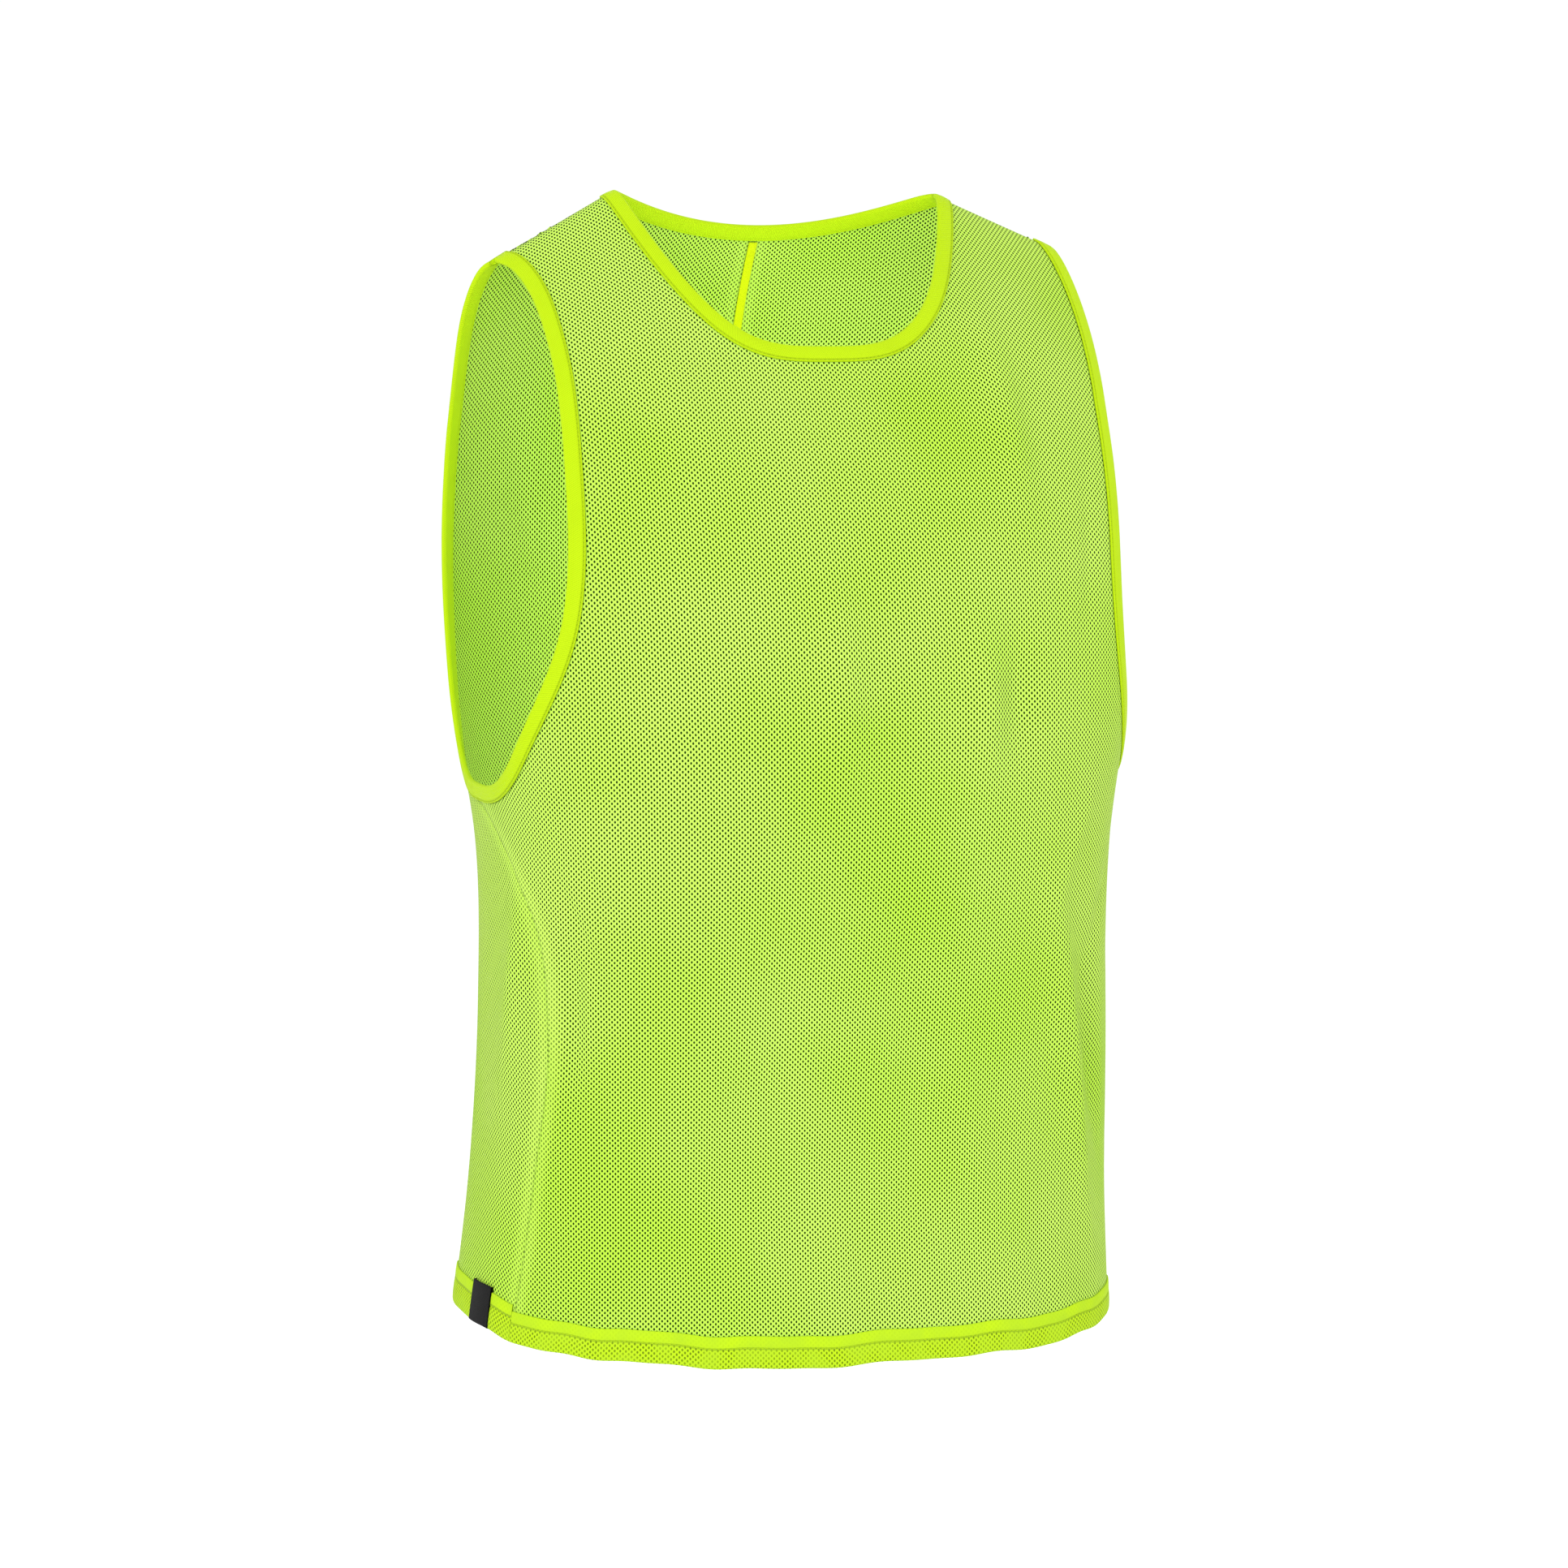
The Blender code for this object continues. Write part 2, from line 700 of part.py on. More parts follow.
def build():
    """All the pieces of the bib."""
    mesh_cloth = cloth_material("mesh_cloth", MESH_GREEN, CLOTH_ROUGHNESS)
    binding_knit = cloth_material("binding_knit", BINDING_LIME, CLOTH_ROUGHNESS)
    tape_knit = cloth_material("tape_knit", TAPE_YELLOW, CLOTH_ROUGHNESS)
    label_satin = cloth_material("label_satin", LABEL_BLACK, LABEL_ROUGHNESS)

    neck_end = neck_stations()
    neck_cut = cut_edge(neck_end, -1)
    arm_end = {side: armhole_stations(side) for side in (-1, 1)}
    arm_cut = {side: cut_edge(arm_end[side], side) for side in (-1, 1)}
    front, left, right = add_panels(neck_cut, arm_cut, mesh_cloth)
    add_bindings(neck_cut, neck_end, arm_cut, arm_end, binding_knit)
    add_label(add_hems(front, left, right, mesh_cloth), label_satin)

    tape_top = top_height(0.0, False) - TAPE_END_GAP
    tape_foot = -BODY_LENGTH + BACK_HEM_DEPTH + TAPE_END_GAP
    heights = [line[-1].height for line in left]
    add_tape("centre_back_tape", [height for height in heights if tape_foot < height < tape_top], tape_knit)


for thing in list(bpy.data.objects):
    bpy.data.objects.remove(thing, do_unlink=True)
build()
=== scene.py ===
"""The looks of a mesh training bib: its cloth, bindings, hems, tape, label and stitches.

The wearer faces -Y, the wearer's right is -X and +Z is up. All sizes are in metres.
The origin is midway between the two neck points, at the top of the shoulders.
"""
import math

import bpy
import numpy as np
from mathutils import Matrix, Vector


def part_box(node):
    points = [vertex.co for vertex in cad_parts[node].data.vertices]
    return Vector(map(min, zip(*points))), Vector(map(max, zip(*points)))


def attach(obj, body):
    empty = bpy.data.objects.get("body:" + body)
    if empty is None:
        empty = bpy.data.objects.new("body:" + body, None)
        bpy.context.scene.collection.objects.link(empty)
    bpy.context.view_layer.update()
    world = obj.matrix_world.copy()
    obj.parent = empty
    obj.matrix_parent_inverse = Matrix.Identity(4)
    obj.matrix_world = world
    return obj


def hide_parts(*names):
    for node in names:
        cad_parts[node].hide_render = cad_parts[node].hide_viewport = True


bl_info = {
    "name": "Mesh training bib",
    "version": (1, 0, 0),
    "blender": (4, 5, 0),
    "location": "3D View > Sidebar > Bib",
    "description": "Makes the cloth, bindings, hems, tape, label and stitches of a training bib",
    "category": "Object",
}

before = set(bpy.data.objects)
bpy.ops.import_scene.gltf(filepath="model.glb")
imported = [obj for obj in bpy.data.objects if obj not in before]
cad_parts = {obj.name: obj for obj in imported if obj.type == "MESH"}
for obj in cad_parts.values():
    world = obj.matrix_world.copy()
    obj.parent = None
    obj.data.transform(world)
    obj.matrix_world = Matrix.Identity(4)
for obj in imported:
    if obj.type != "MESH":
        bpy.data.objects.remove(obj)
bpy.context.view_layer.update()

MM = 0.001

# Level sections of the worn cloth, from the neck points to the hem
SECTION_COLUMNS = ("height", "half_width", "side_y", "front_y", "back_y", "squareness")
SECTIONS = (
    (0.000, 0.209, 0.003, -0.036, 0.042, 1.80),
    (-0.090, 0.223, -0.013, -0.091, 0.075, 2.15),
    (-0.190, 0.226, -0.023, -0.138, 0.094, 2.60),
    (-0.290, 0.215, -0.028, -0.161, 0.097, 2.90),
    (-0.390, 0.198, -0.035, -0.164, 0.089, 3.10),
    (-0.490, 0.1975, -0.039, -0.157, 0.079, 3.10),
    (-0.600, 0.203, -0.035, -0.156, 0.075, 2.90),
    (-0.700, 0.2115, -0.022, -0.168, 0.080, 2.70),
)

# Lines where the armhole bindings end, as turns in degrees from each panel's centre line
ARMHOLE_COLUMNS = ("rise", "front_right", "front_left", "back_right", "back_left")
ARMHOLES = (
    (0.0, 90.0, 90.0, 90.0, 90.0),
    (0.2, 69.3, 67.0, 73.0, 73.0),
    (0.4, 49.5, 54.0, 63.5, 63.0),
    (0.6, 44.2, 54.0, 58.0, 58.0),
    (0.8, 46.0, 57.0, 58.5, 58.5),
)

# Side seams, as turns in degrees from centre front
SEAM_COLUMNS = ("height", "right", "left")
SEAMS = (
    (-0.362, 90.0, 90.0),
    (-0.430, 72.0, 88.0),
    (-0.500, 66.5, 86.0),
    (-0.590, 68.0, 86.0),
    (-0.700, 71.0, 88.0),
)

# Ridges have a positive depth and troughs a negative one. Turns are from centre front
FOLD_COLUMNS = ("top_turn", "top_height", "low_turn", "low_height", "half_width", "depth")
MAIN_FOLDS = (
    (-4.0, -0.185, -3.0, -0.385, 0.012, 0.0046),
    (29.0, -0.040, 30.0, -0.215, 0.015, 0.0050),
    (20.0, -0.225, 23.0, -0.370, 0.012, 0.0045),
    (28.0, -0.235, 30.0, -0.350, 0.013, -0.0050),
    (38.0, -0.350, 58.0, -0.690, 0.014, 0.0066),
    (50.0, -0.400, 68.0, -0.640, 0.016, -0.0058),
    (-62.0, -0.400, -58.0, -0.560, 0.013, -0.0048),
    (-76.0, -0.370, -84.0, -0.560, 0.015, 0.0040),
    (166.0, -0.050, 160.0, -0.300, 0.018, 0.0035),
    (-170.0, -0.045, -166.0, -0.240, 0.016, -0.0030),
    (-152.0, -0.250, -142.0, -0.560, 0.020, 0.0050),
    (148.0, -0.330, 132.0, -0.660, 0.020, 0.0050),
    (174.0, -0.420, 170.0, -0.660, 0.018, -0.0035),
    (-118.0, -0.360, -126.0, -0.620, 0.017, -0.0040),
)
SOFT_FOLDS = (
    (-40.0, -0.060, -22.0, -0.230, 0.011, -0.0016),
    (-33.0, -0.045, -14.0, -0.200, 0.010, 0.0014),
    (-62.0, -0.355, -38.0, -0.455, 0.008, 0.0016),
    (-70.0, -0.372, -48.0, -0.480, 0.007, -0.0015),
    (-50.0, -0.300, -30.0, -0.410, 0.012, -0.0016),
    (-25.0, -0.430, -32.0, -0.640, 0.016, 0.0020),
    (-12.0, -0.400, -16.0, -0.600, 0.015, -0.0017),
    (8.0, -0.380, 14.0, -0.640, 0.016, -0.0020),
    (18.0, -0.470, 30.0, -0.690, 0.013, 0.0018),
    (48.0, -0.120, 44.0, -0.300, 0.010, -0.0016),
    (56.0, -0.330, 36.0, -0.460, 0.010, 0.0020),
    (72.0, -0.372, 50.0, -0.500, 0.009, -0.0018),
    (80.0, -0.400, 76.0, -0.650, 0.012, 0.0022),
    (-42.0, -0.560, -46.0, -0.700, 0.011, -0.0016),
    (-6.0, -0.560, -2.0, -0.700, 0.014, 0.0015),
    (36.0, -0.600, 40.0, -0.705, 0.010, -0.0014),
    (-106.0, -0.372, -134.0, -0.480, 0.009, 0.0018),
    (106.0, -0.372, 136.0, -0.500, 0.010, 0.0020),
    (118.0, -0.420, 112.0, -0.680, 0.014, -0.0020),
    (-136.0, -0.120, -150.0, -0.300, 0.012, 0.0016),
    (140.0, -0.110, 152.0, -0.280, 0.012, -0.0016),
    (178.0, -0.180, 176.0, -0.380, 0.012, 0.0014),
    (-164.0, -0.500, -158.0, -0.700, 0.013, -0.0016),
    (158.0, -0.520, 154.0, -0.700, 0.013, 0.0016),
)

# Small bows of the cut edges between their stitches: waves round the body and size
EDGE_WAVES = ((7, 0.0008), (17, 0.0006), (31, 0.0003))


def linear(hex_colour):
    """Linear colour with alpha from an sRGB hex value."""
    parts = [int(hex_colour[place : place + 2], 16) / 255 for place in (1, 3, 5)]
    return [part / 12.92 if part <= 0.04045 else ((part + 0.055) / 1.055) ** 2.4 for part in parts] + [1.0]


def length_setting(name, description, default):
    """A length setting, in metres."""
    return bpy.props.FloatProperty(name=name, description=description, default=default, unit="LENGTH")


def angle_setting(name, description, default):
    """An angle setting, given in degrees."""
    return bpy.props.FloatProperty(
        name=name, description=description, default=math.radians(default), subtype="ANGLE"
    )


def number_setting(name, description, default):
    """A setting without a unit."""
    return bpy.props.FloatProperty(name=name, description=description, default=default)


def colour_setting(name, description, default):
    """A colour setting, given as an sRGB hex value."""
    return bpy.props.FloatVectorProperty(
        name=name, description=description, default=linear(default), size=4, subtype="COLOR", min=0, max=1
    )


class BibSizes(bpy.types.PropertyGroup):
    """Sizes of the worn cloth, to the line where each binding ends on its panel"""

    body_length: length_setting("Body length", "Neck point to hem", 0.696)
    hem_side_rise: length_setting("Hem rise", "Rise of the hem at the sides", 0.006)
    hem_tilt: length_setting("Hem tilt", "Rise of the hem to the wearer's right", 0.008)
    underarm_height: length_setting("Underarm height", "Bottom of the armholes", -0.362)
    neck_half_width: length_setting("Neck half width", "Centre to neck point", 0.1145)
    neck_rise: length_setting("Neck rise", "Rise of the shoulder line inside the neck", 0.026)
    front_neck_drop: length_setting("Front neck drop", "Depth of the neckline in front", 0.096)
    back_neck_drop: length_setting("Back neck drop", "Depth of the neckline behind", 0.025)
    front_neck_roundness: number_setting("Front neck roundness", "Power of the neckline curve in front", 3.2)
    back_neck_roundness: number_setting("Back neck roundness", "Power of the neckline curve behind", 2.0)
    shoulder_tip: length_setting("Shoulder tip", "Centre to the end of the shoulder", 0.173)
    right_slope: number_setting("Right shoulder slope", "Fall of the right shoulder", 0.57)
    left_slope: number_setting("Left shoulder slope", "Fall of the left shoulder", 0.40)
    front_round_over: length_setting("Front round over", "Height of the front's turn over the shoulder", 0.088)
    back_round_over: length_setting("Back round over", "Height of the back's turn over the shoulder", 0.113)
    back_squareness: number_setting("Back squareness", "Largest squareness of the back", 2.4)
    mesh_wall: length_setting("Mesh wall", "Thickness of the mesh cloth", 0.0009)
    binding_width: length_setting("Binding width", "Width of a folded binding", 0.009)
    front_hem_depth: length_setting("Front hem depth", "Depth of the front hem", 0.018)
    back_hem_depth: length_setting("Back hem depth", "Depth of the back hem", 0.022)
    seam_gap: length_setting("Seam gap", "Room between two panels at a seam", 0.0003)
    tape_width: length_setting("Tape width", "Width of the centre back tape", 0.0056)
    label_width: length_setting("Label width", "Width of the hem label", 0.0255)
    label_height: length_setting("Label height", "Height of the hem label", 0.0255)
    stitch_length: length_setting("Stitch length", "Length of one stitch", 0.0021)
    stitch_pitch: length_setting("Stitch pitch", "Start of one stitch to the next", 0.0027)
    thread: length_setting("Thread", "Thickness of the sewing thread", 0.00035)


class BibColours(bpy.types.PropertyGroup):
    """Colours of the cloth, the trims and the stage"""

    mesh: colour_setting("Mesh", "Yarn of the mesh", "#B0D356")
    mesh_deep: colour_setting("Deep mesh", "Yarn where the mesh is stretched less", "#A2D030")
    # The holes' colour is painted shade: the dark inside seen through the holes, which are drawn, not cut
    hole: colour_setting("Holes", "Shade inside the holes of the mesh", "#183400")
    hem_mesh: colour_setting("Doubled mesh", "Mesh over mesh in the hems and seams", "#98BC26")
    binding: colour_setting("Binding", "Ribbed knit of the bindings", "#B0D20E")
    tape: colour_setting("Tape", "Knit of the centre back tape", "#CCDC0A")
    label: colour_setting("Label", "Satin of the label", "#080808")
    floor: colour_setting("Floor", "Studio floor", "#FFFFFF")


class BibStage(bpy.types.PropertyGroup):
    """Camera, lamps and floor"""

    turn: angle_setting("Camera turn", "Turn of the camera to the wearer's right", 20.304)
    aim: angle_setting("Camera aim", "Turn of the view to the left of the origin's line", 0.194)
    pitch: angle_setting("Camera pitch", "Downward tilt of the view", 8.303)
    roll: angle_setting("Camera roll", "Roll of the view", 0.686)
    distance: length_setting("Camera distance", "Level distance to the origin", 2.5315)
    height: length_setting("Camera height", "Height over the origin", 0.004)
    focal: number_setting("Focal length", "Lens on a 36 mm sensor", 92.91)
    floor_height: length_setting("Floor height", "Floor under the wearer's feet", -1.45)
    floor_radius: length_setting("Floor radius", "Reach of the floor", 60.0)
    sky: number_setting("Room light", "Strength of the even light of the room", 1.02)
    key: number_setting("Key lamp", "Power of the large lamp in front", 75.0)
    fill: number_setting("Fill lamp", "Power of the lamp on the other side", 28.0)
    back: number_setting("Back lamp", "Power of the lamp behind", 9.0)
    glow: number_setting("Glow", "Power of each lamp for the light that comes through the mesh", 0.34)


def sizes():
    """The sizes of the bib."""
    return bpy.context.scene.bib_sizes


def column(names, rows, name):
    """One named column of a table."""
    place = names.index(name)
    return np.array([row[place] for row in rows])


def smooth(knots, values, at):
    """Smooth curve through the values, held flat past its ends."""
    if knots[0] > knots[-1]:
        knots = knots[::-1]
        values = values[::-1]
    at = np.clip(at, knots[0], knots[-1])
    slopes = np.gradient(values, knots)
    place = np.clip(np.searchsorted(knots, at) - 1, 0, len(knots) - 2)
    span = knots[place + 1] - knots[place]
    share = (at - knots[place]) / span
    rest = 1 - share
    start = values[place] * (1 + 2 * share) * rest**2
    end = values[place + 1] * (1 + 2 * rest) * share**2
    return start + end + span * share * rest * (slopes[place] * rest - slopes[place + 1] * share)


def section(name, height):
    """A size of the level section at some heights."""
    heights = column(SECTION_COLUMNS, SECTIONS, "height")
    return smooth(heights, column(SECTION_COLUMNS, SECTIONS, name), height)


def ridge_height(x):
    """Height of the top of the shoulder at x, rising a little inside the neck."""
    size = sizes()
    reach = np.abs(x)
    inside = size.neck_rise * (1 - (reach / size.neck_half_width) ** 2)
    slope = np.where(x < 0, size.right_slope, size.left_slope)
    return np.where(reach < size.neck_half_width, inside, -slope * (reach - size.neck_half_width))


def fold_lift(turn, height):
    """How far the folds lift the cloth off its plain section."""
    lift = np.zeros(np.broadcast(turn, height).shape)
    width = section("half_width", height)
    for row in MAIN_FOLDS + SOFT_FOLDS:
        fold = dict(zip(FOLD_COLUMNS, row))
        along = np.clip((fold["top_height"] - height) / (fold["top_height"] - fold["low_height"]), 0, 1)
        centre = fold["top_turn"] + (fold["low_turn"] - fold["top_turn"]) * along
        away = np.radians((turn - centre + 180) % 360 - 180) * width
        lift += fold["depth"] * np.exp(-((away / fold["half_width"]) ** 2)) * np.sin(np.pi * along) ** 2
    return lift


def cloth_x(turn, height):
    """Sideways place of the cloth before its folds."""
    return section("half_width", height) * np.sin(np.radians(turn))


def cloth_point(turn, height):
    """Outer face of the cloth. Turn is in degrees from centre front, positive to the left."""
    size = sizes()
    sine = np.sin(np.radians(turn))
    cosine = np.cos(np.radians(turn))
    front = np.abs(turn) <= 90
    square = section("squareness", height)
    square = np.where(front, square, np.minimum(square, size.back_squareness))
    bulge = (1 - np.minimum(np.abs(sine), 1) ** square) ** (1 / square)
    x = cloth_x(turn, height)
    side_y = section("side_y", height)
    end_y = np.where(front, section("front_y", height), section("back_y", height))
    drop = np.maximum(ridge_height(x) - height, 0)
    reach = np.where(front, size.front_round_over, size.back_round_over)
    round_over = np.sqrt(1 - (1 - np.minimum(drop / reach, 1)) ** 2)
    y = (side_y + (end_y - side_y) * bulge) * round_over
    lift = fold_lift(turn, height)
    gap = np.where(front, -1, 1) * size.seam_gap / 2 * (1 - round_over)
    return np.stack(np.broadcast_arrays(x + lift * sine, y - lift * cosine + gap, height), axis=-1)


# Steps and rounds of the searches on the cloth
ROOT_STEP = 0.0005
TURN_STEP = 0.25
SEARCH_ROUNDS = 12


def height_below_ridge(turn, root):
    """Height of the cloth whose drop below the shoulder ridge is root squared."""
    height = -(root**2)
    for _ in range(SEARCH_ROUNDS):
        height = ridge_height(cloth_x(turn, height)) - root**2
    return height


def point_below_ridge(turn, root):
    """Cloth point whose drop below the shoulder ridge is root squared."""
    return cloth_point(turn, height_below_ridge(turn, root))


def unit(vectors):
    """The vectors at length one."""
    return vectors / np.linalg.norm(vectors, axis=-1, keepdims=True)


def cloth_slopes(turn, root):
    """Cloth point with its changes along turn and root."""
    step = np.minimum(ROOT_STEP, np.maximum(root / 2, ROOT_STEP / 50))
    across = point_below_ridge(turn + TURN_STEP, root) - point_below_ridge(turn - TURN_STEP, root)
    down = point_below_ridge(turn, root + step) - point_below_ridge(turn, np.maximum(root - step, 0))
    reach = (root + step - np.maximum(root - step, 0))[..., None]
    return point_below_ridge(turn, root), across / (2 * TURN_STEP), down / reach


def cloth_root(turn, height):
    """Square root of the drop below the shoulder ridge."""
    return np.sqrt(np.maximum(ridge_height(cloth_x(turn, height)) - height, 0))


def cloth_normal(turn, height):
    """Direction out of the cloth."""
    root = np.maximum(cloth_root(turn, height), ROOT_STEP)
    _, across, down = cloth_slopes(turn, root)
    return unit(np.cross(down, across))


def walk(turn, height, direction, distance):
    """Turn and height of the cloth reached by walking over it in a direction."""
    target = cloth_point(turn, height) + direction * distance
    root = cloth_root(turn, height)
    ridge = root < ROOT_STEP
    for _ in range(SEARCH_ROUNDS // 2):
        point, across, down = cloth_slopes(turn, root)
        miss = target - point
        aa = (across * across).sum(-1)
        ad = (across * down).sum(-1)
        dd = (down * down).sum(-1)
        am = (across * miss).sum(-1)
        dm = (down * miss).sum(-1)
        area = aa * dd - ad * ad
        turn = turn + np.where(ridge, am / aa, (am * dd - dm * ad) / area)
        root = np.where(ridge, root, np.maximum(root + (dm * aa - am * ad) / area, 0))
    return turn, height_below_ridge(turn, root)


def hem_height(turn):
    """Height of the bottom edge: higher at the sides and to the right, with small bows."""
    size = sizes()
    sine = np.sin(np.radians(turn))
    bows = sum(rise * np.sin(count * np.radians(turn)) for count, rise in EDGE_WAVES)
    return -size.body_length + size.hem_side_rise * sine**2 - size.hem_tilt * sine + bows


def edge_line(x, front):
    """Height of a panel's top edge at x: its neckline, then its shoulder."""
    size = sizes()
    drop = size.front_neck_drop if front else size.back_neck_drop
    roundness = size.front_neck_roundness if front else size.back_neck_roundness
    neck = -drop * (1 - (np.abs(x) / size.neck_half_width) ** roundness)
    return np.where(np.abs(x) >= size.neck_half_width, ridge_height(x), neck)


def top_height(turn, front):
    """Height of a panel's top edge along grid lines."""
    height = np.zeros_like(turn)
    for _ in range(SEARCH_ROUNDS):
        height = edge_line(cloth_x(turn, height), front)
    return height


def turn_for_x(x, height):
    """Turn from the centre line whose cloth lies at x."""
    return np.degrees(np.arcsin(x / section("half_width", height)))


def armhole_turn(rise, side, front):
    """Turn of an armhole edge from its panel's centre line. Rise runs from underarm to shoulder."""
    tip = sizes().shoulder_tip
    name = ("front_" if front else "back_") + ("right" if side < 0 else "left")
    rises = np.append(column(ARMHOLE_COLUMNS, ARMHOLES, "rise"), 1.0)
    top = turn_for_x(tip, ridge_height(np.array(side * tip)))
    return smooth(rises, np.append(column(ARMHOLE_COLUMNS, ARMHOLES, name), top), rise)


def seam_turn(height, side):
    """Turn of a side seam from centre front."""
    name = "right" if side < 0 else "left"
    return smooth(column(SEAM_COLUMNS, SEAMS, "height"), column(SEAM_COLUMNS, SEAMS, name), height)


TAPE_NAME = "centre_back_tape_knit"

# Fine grid of the cloth
LOWER_ROWS = 96
UPPER_ROWS = 90
HALF_NECK_COLUMNS = 36
SIDE_COLUMNS = 44


def neck_turn():
    """Turn of the neck points."""
    return turn_for_x(sizes().neck_half_width, 0.0)


def neck_turns(end):
    """Turns across half the neck, from the centre to an end, closer near the neck point."""
    return end * np.sin(np.pi / 2 * np.arange(HALF_NECK_COLUMNS + 1) / HALF_NECK_COLUMNS)


def side_edges(front):
    """Turns of a panel's side edge from its own centre line, row by row, on both sides."""
    size = sizes()
    share = np.arange(LOWER_ROWS) / LOWER_ROWS
    rise = np.arange(UPPER_ROWS + 1) / UPPER_ROWS
    height = -size.body_length + share * (size.body_length + size.underarm_height)
    pull = np.degrees(size.seam_gap / 2 / section("half_width", height))
    edges = {}
    for side in (-1, 1):
        seam = seam_turn(height, side)
        lower = seam - pull if front else 180 - seam - pull
        edges[side] = np.append(lower, armhole_turn(rise, side, front))
    return edges


def grid_heights(turns, top_turns, front):
    """Heights of the grid points of a panel. Turns are from centre front, one row of them for each line."""
    size = sizes()
    share = np.append(np.arange(LOWER_ROWS) / LOWER_ROWS, np.ones(UPPER_ROWS + 1))[:, None]
    climb = np.sin(np.pi / 2 * np.arange(UPPER_ROWS + 1) / UPPER_ROWS) ** 2
    climb = np.append(np.zeros(LOWER_ROWS), climb)[:, None]
    hem = hem_height(turns)
    lower = hem + share * (size.underarm_height - hem)
    return lower + climb * (top_height(top_turns, front)[None] - size.underarm_height)


def front_grid():
    """Turns and heights of the front panel's grid."""
    edges = side_edges(True)
    neck = neck_turns(neck_turn())
    middle = np.append(-neck[::-1], neck[1:])
    share = np.arange(SIDE_COLUMNS) / SIDE_COLUMNS
    right = -edges[-1][:, None] * (1 - share) + middle[0] * share
    left = edges[1][:, None] * (1 - share) + middle[-1] * share
    turns = np.hstack([right, np.tile(middle, (len(right), 1)), left[:, ::-1]])
    return turns, grid_heights(turns, turns[-1], True)


def back_grid(side):
    """Turns and heights of a back half's grid, from its side seam to the centre back."""
    edge = 180 - side_edges(False)[side]
    inner = 180 - neck_turns(neck_turn())[::-1]
    inner[-1] -= np.degrees(sizes().seam_gap / 2 / section("half_width", 0.0))
    share = np.arange(SIDE_COLUMNS) / SIDE_COLUMNS
    outer = edge[:, None] * (1 - share) + inner[0] * share
    turns = side * np.hstack([outer, np.tile(inner, (len(outer), 1))])
    if side < 0:
        turns = turns[:, ::-1]
    return turns, grid_heights(turns, np.copysign(180 - np.abs(turns[-1]), turns[-1]), False)


def deselect():
    """Clears the selection."""
    bpy.ops.object.select_all(action="DESELECT")


def choose(thing):
    """Selects one object alone."""
    deselect()
    thing.select_set(True)
    bpy.context.view_layer.objects.active = thing


def face_outwards(thing):
    """Turns the faces of a closed skin outwards."""
    choose(thing)
    bpy.ops.object.mode_set(mode="EDIT")
    bpy.ops.mesh.select_all(action="SELECT")
    bpy.ops.mesh.normals_make_consistent(inside=False)
    bpy.ops.object.mode_set(mode="OBJECT")


def mesh_object(name, points, faces, material):
    """A named object from points and faces."""
    mesh = bpy.data.meshes.new(name)
    mesh.from_pydata(np.asarray(points).reshape(-1, 3).tolist(), [], faces)
    mesh.materials.append(material)
    mesh.shade_smooth()
    thing = bpy.data.objects.new(name, mesh)
    bpy.context.scene.collection.objects.link(thing)
    return thing


def set_uv(thing, uv):
    """Gives every corner the UV of its point."""
    mesh = thing.data
    layer = mesh.uv_layers.active or mesh.uv_layers.new(name="UVMap")
    loops = np.empty(len(mesh.loops), int)
    mesh.loops.foreach_get("vertex_index", loops)
    layer.data.foreach_set("uv", np.asarray(uv, np.float32)[loops].ravel())


def set_share(thing, name, values):
    """Stores one number for each point."""
    layer = thing.data.attributes.new(name, "FLOAT", "POINT")
    layer.data.foreach_set("value", np.asarray(values, np.float32))


def grid_faces(rows, columns, closed_rows=False, closed_columns=False):
    """Four-sided faces of a grid, round a loop where it is closed."""
    faces = []
    for row in range(rows if closed_rows else rows - 1):
        for place in range(columns if closed_columns else columns - 1):
            here = row * columns + place
            beside = row * columns + (place + 1) % columns
            over = (row + 1) % rows * columns
            faces.append((here, beside, over + (place + 1) % columns, over + place))
    return faces


def lay_flat(thing, grain):
    """Unwraps a panel to its flat cut in metres. Grain is two points, low and high, on its straight grain."""
    choose(thing)
    bpy.ops.object.mode_set(mode="EDIT")
    bpy.ops.mesh.select_all(action="SELECT")
    bpy.ops.uv.unwrap(method="ANGLE_BASED", margin=0.0)
    bpy.ops.object.mode_set(mode="OBJECT")
    mesh = thing.data
    loops = np.empty(len(mesh.loops), int)
    mesh.loops.foreach_get("vertex_index", loops)
    flat = np.empty(len(mesh.loops) * 2)
    mesh.uv_layers.active.data.foreach_get("uv", flat)
    uv = np.zeros((len(mesh.vertices), 2))
    uv[loops] = flat.reshape(-1, 2)
    points = np.empty(len(mesh.vertices) * 3)
    mesh.vertices.foreach_get("co", points)
    points = points.reshape(-1, 3)
    edges = np.empty(len(mesh.edges) * 2, int)
    mesh.edges.foreach_get("vertices", edges)
    start, end = edges.reshape(-1, 2).T
    real = np.linalg.norm(points[start] - points[end], axis=1).sum()
    scale = real / np.linalg.norm(uv[start] - uv[end], axis=1).sum()
    low, high = grain
    along = (uv[high] - uv[low]) / np.linalg.norm(uv[high] - uv[low])
    turned = np.array([[along[1], -along[0]], [along[0], along[1]]])
    uv = (uv - uv[low]) @ turned.T * scale
    set_uv(thing, uv)
    return uv


def thicken(thing, thickness):
    """Gives a sheet its wall, inside its outer face."""
    choose(thing)
    solidify = thing.modifiers.new("wall", "SOLIDIFY")
    solidify.thickness = thickness
    solidify.offset = -1
    bpy.ops.object.modifier_apply(modifier=solidify.name)


def finish_piece(piece, slot, *nodes):
    """Rides a piece on the bib and hides the plain solids that it stands for."""
    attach(piece, "root")
    if nodes:
        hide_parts(*nodes)


